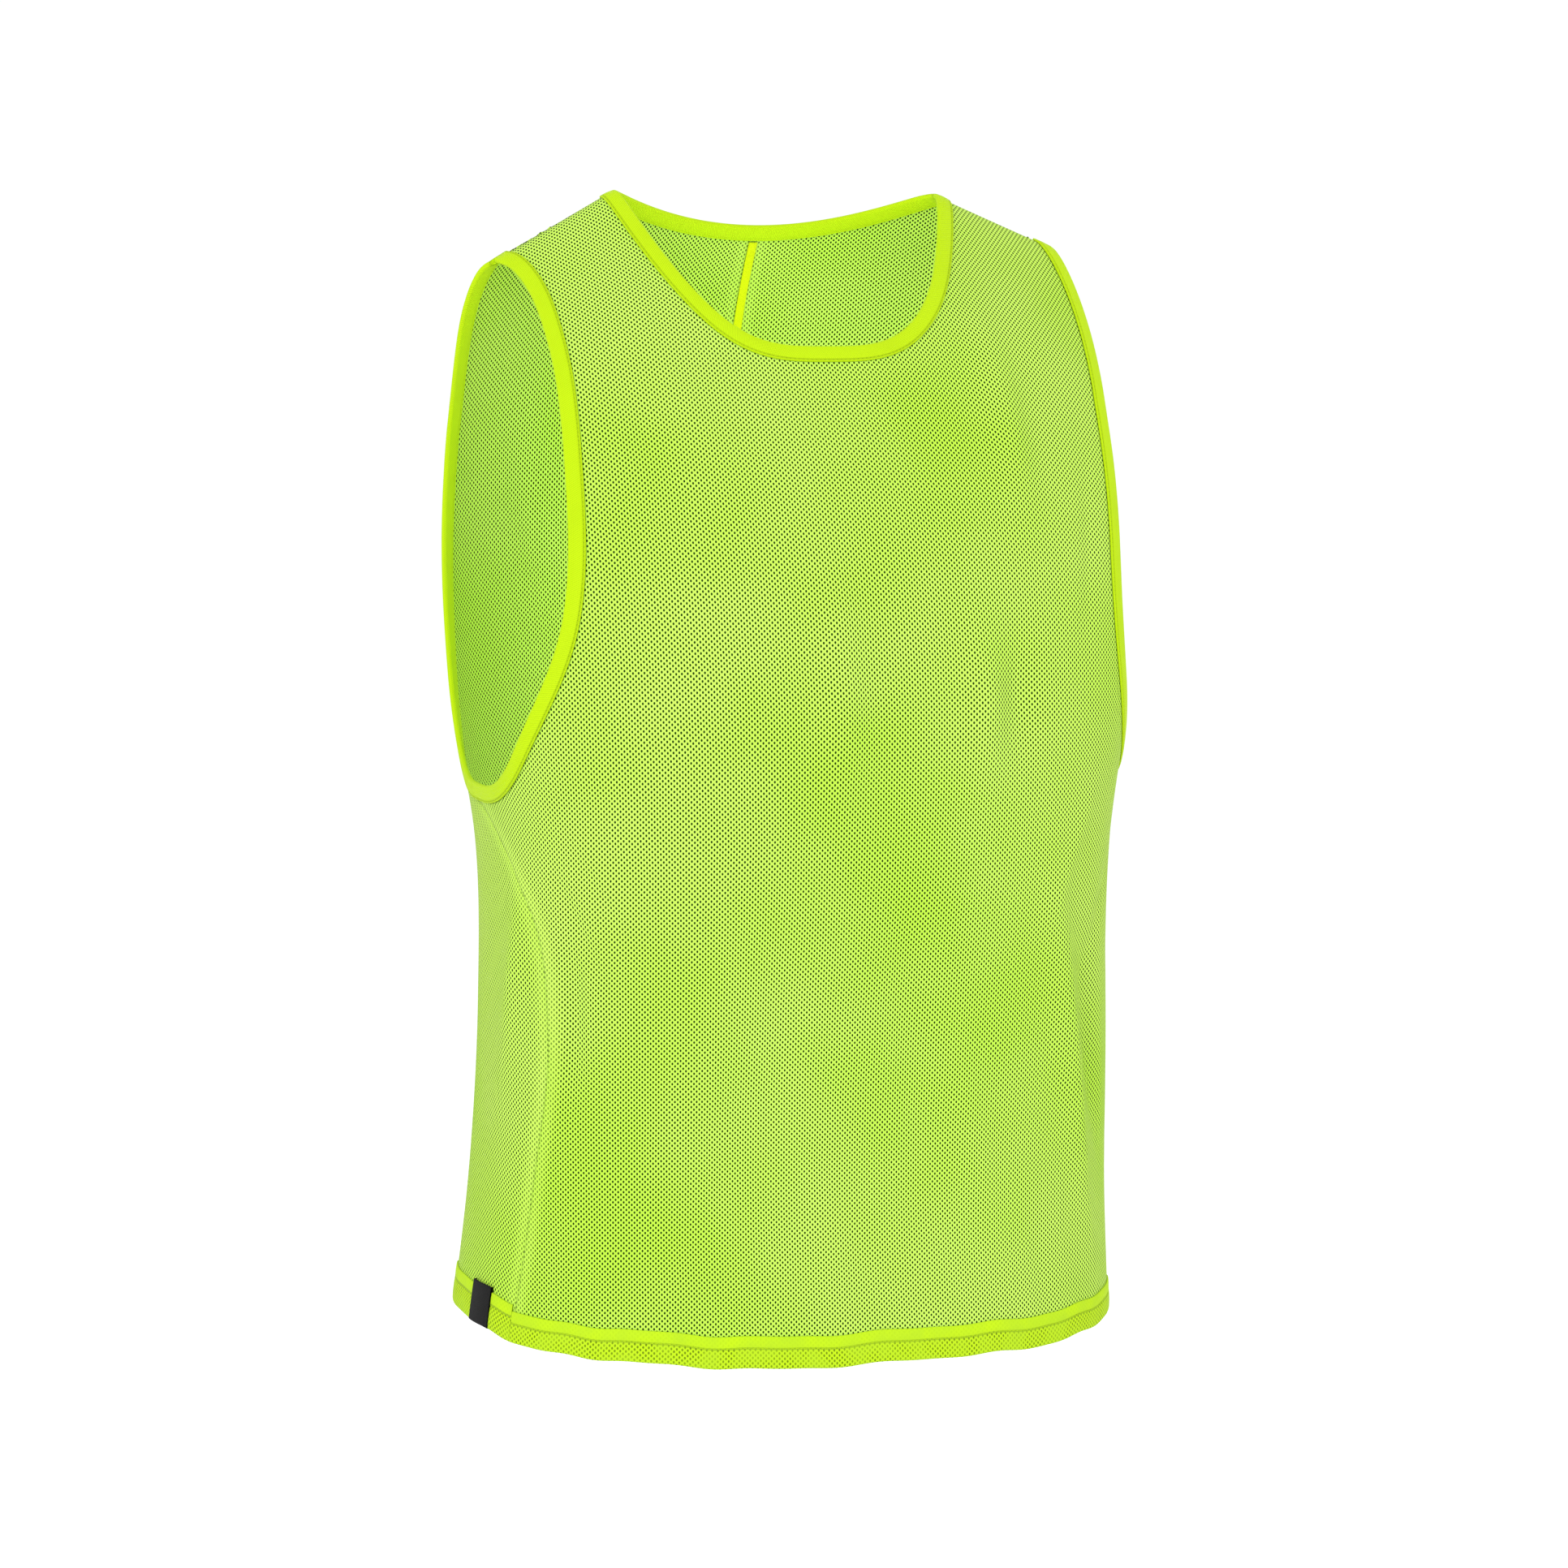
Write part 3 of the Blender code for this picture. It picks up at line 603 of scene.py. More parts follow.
# Turned-in cloth behind a seam, the stretch over which it fades, and points measured at a time
ALLOWANCE = 2.5 * MM
ALLOWANCE_FADE = 9 * MM
POINTS_AT_A_TIME = 4000


def seam_closeness(points, lines):
    """One at the seams, falling to nothing where the turned-in cloth inside ends."""
    nearest = np.full(len(points), 1.0)
    for line in lines:
        for start in range(0, len(points), POINTS_AT_A_TIME):
            part = slice(start, start + POINTS_AT_A_TIME)
            away = np.linalg.norm(points[part, None] - line[None], axis=2).min(axis=1)
            nearest[part] = np.minimum(nearest[part], away)
    share = np.clip((ALLOWANCE + ALLOWANCE_FADE - nearest) / ALLOWANCE_FADE, 0, 1)
    return share * share * (3 - 2 * share)


def make_panel(name, grid, grain_column, seams, slot, material):
    """A panel of mesh: its outer face on the grid, its flat cut and its wall."""
    turns, heights = grid
    rows, columns = turns.shape
    points = cloth_point(turns, heights)
    faces = grid_faces(rows, columns)
    panel = mesh_object(name + "_cloth", points, faces, material)
    uv = lay_flat(panel, (grain_column, (rows - 1) * columns + grain_column))
    lines = [points[place] for place in seams]
    set_share(panel, "doubled", seam_closeness(points.reshape(-1, 3), lines))
    thicken(panel, sizes().mesh_wall)
    finish_piece(panel, slot, name)
    width, length = np.ptp(uv, axis=0)
    return panel, width, length


def loop_lengths(points, closed):
    """Distance along a line of points."""
    steps = np.diff(points, axis=0, append=points[:1]) if closed else np.diff(points, axis=0)
    return np.append(0, np.cumsum(np.linalg.norm(steps, axis=1)))


# Rounded profile of a folded binding: share of its width from its end to the cut edge, and lift in mm
BINDING_COLUMNS = ("share", "lift")
BINDING_PROFILE = (
    (0.00, 0.25),
    (0.005, 0.95),
    (0.04, 1.25),
    (0.10, 1.32),
    (0.14, 1.08),
    (0.18, 1.32),
    (0.30, 1.48),
    (0.50, 1.55),
    (0.70, 1.52),
    (0.86, 1.42),
    (0.96, 1.30),
)
EDGE_STEPS = 7
SMOOTH_ANGLE = math.radians(50)
FOLD_WALL = 0.9


def binding_loop(wall, profile):
    """Closed profile of a fold: along shares, lifts and reach past the cut edge, in mm."""
    shares = column(BINDING_COLUMNS, profile, "share")
    lifts = column(BINDING_COLUMNS, profile, "lift")
    middle = -wall / MM / 2
    outer = [(share, lift, 0.0) for share, lift in zip(shares, lifts)]
    radius = lifts[-1] - middle
    turn = np.pi * np.arange(EDGE_STEPS + 1) / EDGE_STEPS
    outer += [(1.0, middle + radius * np.cos(angle), radius * np.sin(angle)) for angle in turn]
    outer += [(share, 2 * middle - lift, 0.0) for share, lift in zip(shares[::-1], lifts[::-1])]
    low = radius - FOLD_WALL
    inner = [(0.0, 2 * middle - 0.12, 0.0), (0.9, 2 * middle - 0.3, 0.0)]
    inner += [(1.0, middle - low * np.cos(angle), low * np.sin(angle)) for angle in turn]
    inner += [(0.9, 0.3, 0.0), (0.0, 0.12, 0.0)]
    return np.array(outer + inner), len(outer)


class Edge:
    """A cut edge with the line where its fold ends, as points, normals and outward ways."""

    def __init__(self, end_turns, end_heights, cut_turns, cut_heights, closed):
        self.closed = closed
        self.end = cloth_point(end_turns, end_heights)
        self.end_normal = cloth_normal(end_turns, end_heights)
        self.cut = cloth_point(cut_turns, cut_heights)
        self.cut_normal = cloth_normal(cut_turns, cut_heights)
        reach = self.cut - self.end
        level = (reach * self.cut_normal).sum(-1, keepdims=True)
        self.away = unit(reach - level * self.cut_normal)

    def place(self, share, lift, past):
        """Points at a share of the way to the cut edge, lifted off the cloth and moved past the edge."""
        normal = unit(self.end_normal * (1 - share) + self.cut_normal * share)
        middle = self.end * (1 - share) + self.cut * share
        return middle + normal * lift + self.away * past

    def lengths(self):
        """Distance along the end line."""
        return loop_lengths(self.end, self.closed)


def make_fold(name, edge, profile, lift, material):
    """A band folded over an edge, as one closed skin with its flat cut as UV."""
    loop, outer_count = binding_loop(sizes().mesh_wall, profile)
    middle = sizes().mesh_wall / MM / 2
    lines = []
    for share, rise, past in loop:
        lifted = rise + np.sign(rise + middle) * lift
        lines.append(edge.place(share, lifted * MM, past * MM))
    points = np.stack(lines, axis=1)
    stations, corners = points.shape[:2]
    faces = grid_faces(stations, corners, closed_rows=edge.closed, closed_columns=True)
    if not edge.closed:
        faces.append(tuple(range(corners))[::-1])
        faces.append(tuple((stations - 1) * corners + place for place in range(corners)))
    fold = mesh_object(name + "_cloth", points, faces, material)
    across = np.append(0, np.cumsum(np.linalg.norm(np.diff(points[0], axis=0), axis=1)))
    along = edge.lengths()[:stations]
    uv = np.stack(np.broadcast_arrays(along[:, None], across[None]), axis=-1).reshape(-1, 2)
    set_uv(fold, uv)
    closed_seam(fold, stations, corners, edge, across)
    face_outwards(fold)
    bpy.ops.object.shade_smooth_by_angle(angle=SMOOTH_ANGLE)
    return fold, edge.lengths()[-1], across[outer_count - 1]


def closed_seam(fold, stations, corners, edge, across):
    """Runs the UV on past the last station of a closed band, so that it doesn't jump back."""
    mesh = fold.data
    layer = mesh.uv_layers.active.data
    total = edge.lengths()[-1]
    for face in mesh.polygons:
        rows = [mesh.loops[place].vertex_index // corners for place in face.loop_indices]
        if edge.closed and max(rows) == stations - 1 and min(rows) == 0:
            for place, row in zip(face.loop_indices, rows):
                if row == 0:
                    layer[place].uv[0] = total


def neck_edge():
    """The neck, across the front to the left and back across the back."""
    half = neck_turns(neck_turn())
    front = np.append(-half[::-1], half[1:])
    back = front[::-1][1:-1]
    turns = np.append(front, np.copysign(180 - np.abs(back), np.where(back == 0, 1, back)))
    heights = np.append(top_height(front, True), top_height(back, False))
    return bound_edge(turns, heights, -1)


def armhole_edge(side):
    """An armhole, from the underarm up the front and down the back."""
    size = sizes()
    rise = np.arange(UPPER_ROWS + 1) / UPPER_ROWS
    climb = np.sin(np.pi / 2 * rise) ** 2
    turns = []
    heights = []
    for front in (True, False):
        own = side * armhole_turn(rise, side, front)
        top = top_height(own[-1:], front)[0]
        height = size.underarm_height + climb * (top - size.underarm_height)
        turns.append(own if front else side * (180 - np.abs(own)))
        heights.append(height)
    turns = np.append(turns[0], turns[1][-2:0:-1])
    heights = np.append(heights[0], heights[1][-2:0:-1])
    return bound_edge(turns, heights, side)


def bound_edge(turns, heights, side):
    """The edge round an opening. Side is +1 where the opening lies right of the path."""
    points = cloth_point(turns, heights)
    path = np.roll(points, -1, axis=0) - np.roll(points, 1, axis=0)
    away = unit(np.cross(path, cloth_normal(turns, heights))) * side
    cut_turns, cut_heights = walk(turns, heights, away, sizes().binding_width)
    return Edge(turns, heights, cut_turns, cut_heights, True)


def hem_edge(grid, depth):
    """The bottom edge of a panel's grid, with the line where its hem ends."""
    turns, heights = grid
    turns = turns[0]
    low = heights[0]
    return Edge(turns, low + depth, turns, low, False)


def resampled(points, normals, closed, pitch):
    """Points and normals spaced evenly along a line."""
    lengths = loop_lengths(points, closed)
    if closed:
        points = np.vstack([points, points[:1]])
        normals = np.vstack([normals, normals[:1]])
    count = int(lengths[-1] / pitch)
    at = (np.arange(count) + 0.5) * lengths[-1] / count
    slopes = np.gradient(points, lengths, axis=0)
    even = []
    for values in (points, normals, slopes):
        even.append(np.stack([np.interp(at, lengths, values[:, axis]) for axis in range(3)], axis=1))
    return even[0], unit(even[1]), unit(even[2])


# One stitch is a short bead of thread: share along it and share of the full thickness
STITCH_RINGS = ((-0.5, 0.25), (-0.38, 0.85), (0.0, 1.0), (0.38, 0.85), (0.5, 0.25))
STITCH_SIDES = 6


def make_stitches(name, points, normals, closed, material):
    """A row of stitches along a line that lies on the cloth."""
    size = sizes()
    places, ups, ways = resampled(points, normals, closed, size.stitch_pitch)
    across = unit(np.cross(ups, ways))
    angles = 2 * np.pi * np.arange(STITCH_SIDES) / STITCH_SIDES
    rings = []
    for along, thick in STITCH_RINGS:
        for angle in angles:
            side = across * np.cos(angle) + ups * np.sin(angle)
            rings.append(places + ways * along * size.stitch_length + side * thick * size.thread / 2)
    beads = np.stack(rings, axis=1)
    per_bead = beads.shape[1]
    one = grid_faces(len(STITCH_RINGS), STITCH_SIDES, closed_columns=True)
    one.append(tuple(range(STITCH_SIDES))[::-1])
    one.append(tuple(per_bead - STITCH_SIDES + place for place in range(STITCH_SIDES)))
    faces = [tuple(bead * per_bead + corner for corner in face) for bead in range(len(beads)) for face in one]
    stitches = mesh_object(name, beads, faces, material)
    face_outwards(stitches)
    finish_piece(stitches, "binding_knit")
    return stitches


def add_node(tree, kind, settings=None, **inputs):
    """Adds a node with its settings, and sets or links its inputs by name or number."""
    node = tree.nodes.new(kind)
    for name, value in (settings or {}).items():
        setattr(node, name, value)
    for name, value in inputs.items():
        numbered = name[0] == "i" and name[1:].isdigit()
        socket = node.inputs[int(name[1:]) if numbered else name.replace("_", " ")]
        if isinstance(value, bpy.types.NodeSocket):
            tree.links.new(value, socket)
        else:
            socket.default_value = value
    return node


def maths(tree, operation, *values):
    """A sum of one kind, as a socket."""
    inputs = {f"i{place}": value for place, value in enumerate(values)}
    return add_node(tree, "ShaderNodeMath", {"operation": operation}, **inputs).outputs[0]


def blended(tree, share, first, second):
    """A mix of two colours, as a socket."""
    node = add_node(tree, "ShaderNodeMix", {"data_type": "RGBA"})
    for place, value in ((0, share), (6, first), (7, second)):
        if isinstance(value, bpy.types.NodeSocket):
            tree.links.new(value, node.inputs[place])
        else:
            node.inputs[place].default_value = value
    return node.outputs[2]


def shift_range(tree, value, low, high, to_low, to_high):
    """A value moved from one range to another with soft ends, as a socket."""
    inputs = {"Value": value, "From_Min": low, "From_Max": high, "To_Min": to_low, "To_Max": to_high}
    return add_node(tree, "ShaderNodeMapRange", {"interpolation_type": "SMOOTHSTEP"}, **inputs).outputs[0]


def new_material(name, roughness, sheen, sheen_roughness):
    """A cloth material with its tree and shader."""
    material = bpy.data.materials.new(name)
    material.use_nodes = True
    tree = material.node_tree
    shader = tree.nodes["Principled BSDF"]
    shader.inputs["Roughness"].default_value = roughness
    shader.inputs["Sheen Weight"].default_value = sheen
    shader.inputs["Sheen Roughness"].default_value = sheen_roughness
    shader.inputs["Specular IOR Level"].default_value = 0.05
    return material, tree, shader


def finish_material(tree, shader, colour, height, distance):
    """Links a colour and a bump to the shader."""
    tree.links.new(colour, shader.inputs["Base Color"])
    bump = add_node(tree, "ShaderNodeBump", None, Strength=1.0, Distance=distance, Height=height)
    tree.links.new(bump.outputs[0], shader.inputs["Normal"])


# Holed warp knit of polyester. Holes stand in staggered rows, 3.3 mm apart across and 3.2 mm
# down, with one more in the middle of every four. Each hole is 1.1 by 1.6 mm
HOLE_ACROSS = 3.3 * MM
HOLE_DOWN = 3.2 * MM
HOLE_HALF_WIDTH = 0.56
HEM_STITCH_DEPTH = 8.0 * MM
HOLE_HALF_HEIGHT = 0.80


def hole_shape(tree, across, down):
    """Distance from the nearest hole centre, in hole radii, as a socket. Inputs are in metres."""
    shapes = []
    for shift in (0.0, 0.5):
        parts = []
        ways = ((across, HOLE_ACROSS, HOLE_HALF_WIDTH), (down, HOLE_DOWN, HOLE_HALF_HEIGHT))
        for value, pitch, radius in ways:
            share = maths(tree, "MULTIPLY_ADD", value, 1 / pitch, shift)
            place = maths(tree, "SUBTRACT", maths(tree, "FRACT", share), 0.5)
            scaled = maths(tree, "MULTIPLY", place, pitch / MM / radius)
            parts.append(maths(tree, "MULTIPLY", scaled, scaled))
        shapes.append(maths(tree, "SQRT", maths(tree, "ADD", *parts)))
    return maths(tree, "MINIMUM", *shapes)


def mesh_knit(name, doubled):
    """Polyester mesh knit: matt bright yarn with small holes, drawn not cut, painted in the dark shade of the
    inside.
    """
    colours = bpy.context.scene.bib_colours
    material, tree, shader = new_material(name, 0.7, 0.01, 0.45)
    uv = add_node(tree, "ShaderNodeTexCoord").outputs["UV"]
    wander = add_node(tree, "ShaderNodeTexNoise", None, Vector=uv, Scale=22.0, Detail=2.0).outputs["Color"]
    drift = (1.2 * MM,) * 3
    moved = add_node(tree, "ShaderNodeVectorMath", {"operation": "MULTIPLY_ADD"}, i0=wander, i1=drift, i2=uv)
    parts = add_node(tree, "ShaderNodeSeparateXYZ", None, Vector=moved.outputs[0])
    hole = hole_shape(tree, parts.outputs[0], parts.outputs[1])
    hole_shade_share = shift_range(tree, hole, 0.82, 1.18, 1.0, 0.0)
    if doubled:
        seen = add_node(tree, "ShaderNodeTexNoise", None, Vector=uv, Scale=60.0, Detail=2.0).outputs[0]
        covered = shift_range(tree, seen, 0.38, 0.62, 0.35, 0.7)
        # Above the stitch line a third layer lies inside, and hides the holes
        depth = add_node(tree, "ShaderNodeSeparateXYZ", None, Vector=uv).outputs[1]
        below = shift_range(tree, depth, HEM_STITCH_DEPTH - 1.0 * MM, HEM_STITCH_DEPTH + 1.0 * MM, 0.12, 1.0)
        covered = maths(tree, "MULTIPLY", covered, below)
        hole_shade_share = maths(tree, "MULTIPLY", hole_shade_share, covered)
        plain = blended(tree, seen, list(colours.hem_mesh), list(colours.binding))
        # Along the stitch line the yarn is painted darker: painted shade in the groove that the sewing presses
        # in
        pressed = maths(tree, "ABSOLUTE", maths(tree, "SUBTRACT", depth, HEM_STITCH_DEPTH))
        deep = [part * 0.7 for part in colours.hem_mesh[:3]] + [1.0]
        yarn = blended(tree, shift_range(tree, pressed, 0.3 * MM, 1.1 * MM, 0.8, 0.0), plain, deep)
    else:
        near = add_node(tree, "ShaderNodeAttribute", {"attribute_name": "doubled"}).outputs["Fac"]
        covered = maths(tree, "MULTIPLY_ADD", near, -0.34, 1.0)
        hole_shade_share = maths(tree, "MULTIPLY", hole_shade_share, covered)
        tone = add_node(tree, "ShaderNodeTexNoise", None, Vector=uv, Scale=5.0, Detail=3.0).outputs[0]
        spread = shift_range(tree, tone, 0.35, 0.68, 0.0, 0.75)
        plain = blended(tree, spread, list(colours.mesh), list(colours.mesh_deep))
        yarn = blended(tree, maths(tree, "MULTIPLY", near, 0.3), plain, list(colours.mesh))
    # The holes are painted dark as the shade of the inside behind them: painted shade
    colour = blended(tree, hole_shade_share, yarn, list(colours.hole))
    fuzz = add_node(tree, "ShaderNodeTexNoise", None, Vector=uv, Scale=1800.0, Detail=2.0).outputs[0]
    relief = maths(tree, "MULTIPLY_ADD", hole_shade_share, -1.0, maths(tree, "MULTIPLY", fuzz, 0.35))
    finish_material(tree, shader, colour, relief, 0.22 * MM)
    return material


# Place of a pressed-in line that no band reaches
NO_SEAM_LINE = -1.0


def ribbed_knit(name, colour, pitch, seam_line):
    """Fine ribbed knit of polyester: slanted ribs across the band, with painted shade in the troughs between
    the ribs and along the groove where its sewing presses it in.
    """
    material, tree, shader = new_material(name, 0.62, 0.04, 0.4)
    uv = add_node(tree, "ShaderNodeTexCoord").outputs["UV"]
    parts = add_node(tree, "ShaderNodeSeparateXYZ", None, Vector=uv)
    slanted = maths(tree, "MULTIPLY_ADD", parts.outputs[1], 0.55, parts.outputs[0])
    rib = maths(tree, "SINE", maths(tree, "MULTIPLY", slanted, 2 * math.pi / pitch))
    course = maths(tree, "SINE", maths(tree, "MULTIPLY", parts.outputs[1], 2 * math.pi / (0.9 * pitch)))
    relief = maths(tree, "MULTIPLY_ADD", course, 0.35, rib)
    tone = add_node(tree, "ShaderNodeTexNoise", None, Vector=uv, Scale=35.0, Detail=3.0).outputs[0]
    dark = [part * 0.80 for part in colour[:3]] + [1.0]
    # The troughs between the ribs are painted darker than the crests: painted shade
    shade = shift_range(tree, relief, -1.3, 1.3, 0.75, 0.0)
    soft = blended(tree, shade, list(colour), dark)
    worn = blended(tree, shift_range(tree, tone, 0.45, 0.75, 0.0, 0.25), soft, dark)
    # The groove where the sewing presses the band in is painted darker: painted shade
    pressed = maths(tree, "ABSOLUTE", maths(tree, "SUBTRACT", parts.outputs[1], seam_line))
    deep = [part * 0.5 for part in colour[:3]] + [1.0]
    lined = blended(tree, shift_range(tree, pressed, 0.25 * MM, 0.9 * MM, 0.7, 0.0), worn, deep)
    finish_material(tree, shader, lined, relief, 0.10 * MM)
    return material


def label_satin(name, colour):
    """Woven polyester satin: deep black with a soft shine and fine threads across."""
    material, tree, shader = new_material(name, 0.5, 0.0, 0.3)
    uv = add_node(tree, "ShaderNodeTexCoord").outputs["UV"]
    parts = add_node(tree, "ShaderNodeSeparateXYZ", None, Vector=uv)
    thread = maths(tree, "SINE", maths(tree, "MULTIPLY", parts.outputs[1], 2 * math.pi / (0.45 * MM)))
    pale = [part + 0.004 for part in colour[:3]] + [1.0]
    woven = blended(tree, shift_range(tree, thread, -1.0, 1.0, 0.0, 1.0), list(colour), pale)
    finish_material(tree, shader, woven, thread, 0.05 * MM)
    return material


def material_named(name, make, *values):
    """A material, made once."""
    return bpy.data.materials.get(name) or make(name, *values)


def panel_mesh():
    """The mesh of the panels."""
    return material_named("polyester mesh knit", mesh_knit, False)


def binding_material():
    """The knit of the bindings."""
    # Ribs 0.9 mm apart are drawn at 1.3 mm so that they show
    lime = bpy.context.scene.bib_colours.binding
    return material_named("ribbed binding knit", ribbed_knit, lime, 1.3 * MM, 2.1 * MM)


def thread_material():
    """Spun polyester sewing thread in the colour of the bindings."""
    lime = bpy.context.scene.bib_colours.binding
    return material_named("sewing thread", ribbed_knit, lime, 0.8 * MM, NO_SEAM_LINE)


class BIB_OT_panels(bpy.types.Operator):
    """Makes the front panel and the two back halves of holed mesh"""

    bl_idname = "bib.panels"
    bl_label = "Panels"

    def execute(self, context):
        columns = 2 * (SIDE_COLUMNS + HALF_NECK_COLUMNS) + 1
        half = SIDE_COLUMNS + HALF_NECK_COLUMNS + 1
        rows = LOWER_ROWS + UPPER_ROWS + 1
        lower = slice(0, LOWER_ROWS)
        plans = (
            ("front_panel", front_grid(), columns // 2, ((lower, 0), (lower, -1))),
            ("back_panel_left", back_grid(1), half - 1, ((lower, 0), (slice(0, rows), -1))),
            ("back_panel_right", back_grid(-1), 0, ((lower, -1), (slice(0, rows), 0))),
        )
        for name, grid, grain, seams in plans:
            panel, width, length = make_panel(name, grid, grain, seams, "mesh_cloth", panel_mesh())
        return {"FINISHED"}


class BIB_OT_bindings(bpy.types.Operator):
    """Makes the ribbed bindings of the neck and the armholes, with their stitches"""

    bl_idname = "bib.bindings"
    bl_label = "Bindings"

    def execute(self, context):
        edges = (
            ("neck_binding", neck_edge()),
            ("armhole_binding_right", armhole_edge(-1)),
            ("armhole_binding_left", armhole_edge(1)),
        )
        for name, edge in edges:
            fold, length, width = make_fold(name, edge, BINDING_PROFILE, 0.0, binding_material())
            finish_piece(fold, "binding_knit", name)
            line = edge.place(0.14, 1.2 * MM, 0.0)
            stitches = make_stitches(name + "_stitches", line, edge.end_normal, True, thread_material())
        return {"FINISHED"}


# Profile of a turned-up hem, flatter than a binding, with its stitch line at mid depth
HEM_PROFILE = (
    (0.00, 0.25),
    (0.005, 0.80),
    (0.03, 1.00),
    (0.20, 1.15),
    (0.36, 1.05),
    (0.40, 0.78),
    (0.44, 1.05),
    (0.60, 1.25),
    (0.80, 1.25),
    (0.92, 1.15),
    (0.97, 1.05),
)
HEM_STITCH_SHARE = 0.40


class BIB_OT_hems(bpy.types.Operator):
    """Makes the turned-up hem of each panel, with its stitches"""

    bl_idname = "bib.hems"
    bl_label = "Hems"

    def execute(self, context):
        size = sizes()
        left = back_grid(1)
        right = back_grid(-1)
        back = tuple(np.hstack([one, other[:, 1:]]) for one, other in zip(left, right))
        plans = (
            ("front_hem", front_grid(), size.front_hem_depth),
            ("back_hem", back, size.back_hem_depth),
        )
        material = material_named("doubled mesh knit", mesh_knit, True)
        for name, grid, depth in plans:
            edge = hem_edge(grid, depth)
            fold, length, width = make_fold(name, edge, HEM_PROFILE, 0.0, material)
            finish_piece(fold, "mesh_cloth", name)
            line = edge.place(HEM_STITCH_SHARE, 0.95 * MM, 0.0)
            stitches = make_stitches(name + "_stitches", line, edge.end_normal, False, thread_material())
        return {"FINISHED"}


# Profile of the tape: share of its half width and rise off the cloth in mm
TAPE_PROFILE = (
    (-1.0, 0.0),
    (-0.96, 0.5),
    (-0.8, 0.72),
    (0.0, 0.85),
    (0.8, 0.72),
    (0.96, 0.5),
    (1.0, 0.0),
    (0.0, -0.05),
)
TAPE_GAP = 0.5
TAPE_ROWS = 240


class BIB_OT_tape(bpy.types.Operator):
    """Makes the narrow tape that covers the centre back seam inside"""

    bl_idname = "bib.tape"
    bl_label = "Centre back tape"

    def execute(self, context):
        size = sizes()
        top = top_height(np.zeros(1), False)[0] - MM
        foot = -size.body_length + size.back_hem_depth + MM
        heights = np.linspace(foot, top, TAPE_ROWS)
        half = size.tape_width / 2
        lines = []
        for across, rise in TAPE_PROFILE:
            turn = 180 + np.degrees(across * half / section("half_width", heights))
            turn = np.where(turn > 180, turn - 360, turn)
            depth = -(size.mesh_wall + (TAPE_GAP + rise) * MM)
            lines.append(cloth_point(turn, heights) + cloth_normal(turn, heights) * depth)
        points = np.stack(lines, axis=1)
        corners = len(TAPE_PROFILE)
        faces = grid_faces(len(heights), corners, closed_columns=True)
        faces.append(tuple(range(corners))[::-1])
        faces.append(tuple((len(heights) - 1) * corners + place for place in range(corners)))
        colour = bpy.context.scene.bib_colours.tape
        knit = material_named("tape knit", ribbed_knit, colour, 1.1 * MM, NO_SEAM_LINE)
        tape = mesh_object(TAPE_NAME, points, faces, knit)
        along = loop_lengths(points[:, 0], False)
        across = np.array([place for place, _ in TAPE_PROFILE]) * half
        set_uv(tape, np.stack(np.broadcast_arrays(along[:, None], across[None]), axis=-1).reshape(-1, 2))
        face_outwards(tape)
        bpy.ops.object.shade_smooth_by_angle(angle=SMOOTH_ANGLE)
        finish_piece(tape, "tape_knit", "centre_back_tape")
        return {"FINISHED"}


# Profile of the label, folded over the hem
LABEL_PROFILE = (
    (0.00, 0.05),
    (0.01, 0.45),
    (0.05, 0.60),
    (0.30, 0.66),
    (0.60, 0.66),
    (0.90, 0.62),
)
# How far the label lies off the mesh, over the hem, in mm
LABEL_LIFT = 1.45
LABEL_COLUMNS = 14


class BIB_OT_label(bpy.types.Operator):
    """Makes the bare satin label folded over the back hem by the right side seam"""

    bl_idname = "bib.label"
    bl_label = "Hem label"

    def execute(self, context):
        size = sizes()
        low, high = (np.array(corner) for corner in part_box("hem_label"))
        turns, heights = (values[0] for values in back_grid(-1))
        points = cloth_point(turns, heights)
        lengths = loop_lengths(points, False)
        middle = np.interp((low[1] + high[1]) / 2, points[::-1, 1], lengths[::-1])
        at = middle + size.label_width * np.linspace(-0.5, 0.5, LABEL_COLUMNS)
        turn = np.interp(at, lengths, turns)
        height = hem_height(turn)
        edge = Edge(turn, height + size.label_height, turn, height, False)
        satin = material_named("label satin", label_satin, bpy.context.scene.bib_colours.label)
        fold, length, width = make_fold("hem_label", edge, LABEL_PROFILE, LABEL_LIFT, satin)
        finish_piece(fold, "label_satin", "hem_label")
        return {"FINISHED"}


GLOW_HEIGHTS = (-0.14, -0.30, -0.46, -0.62)


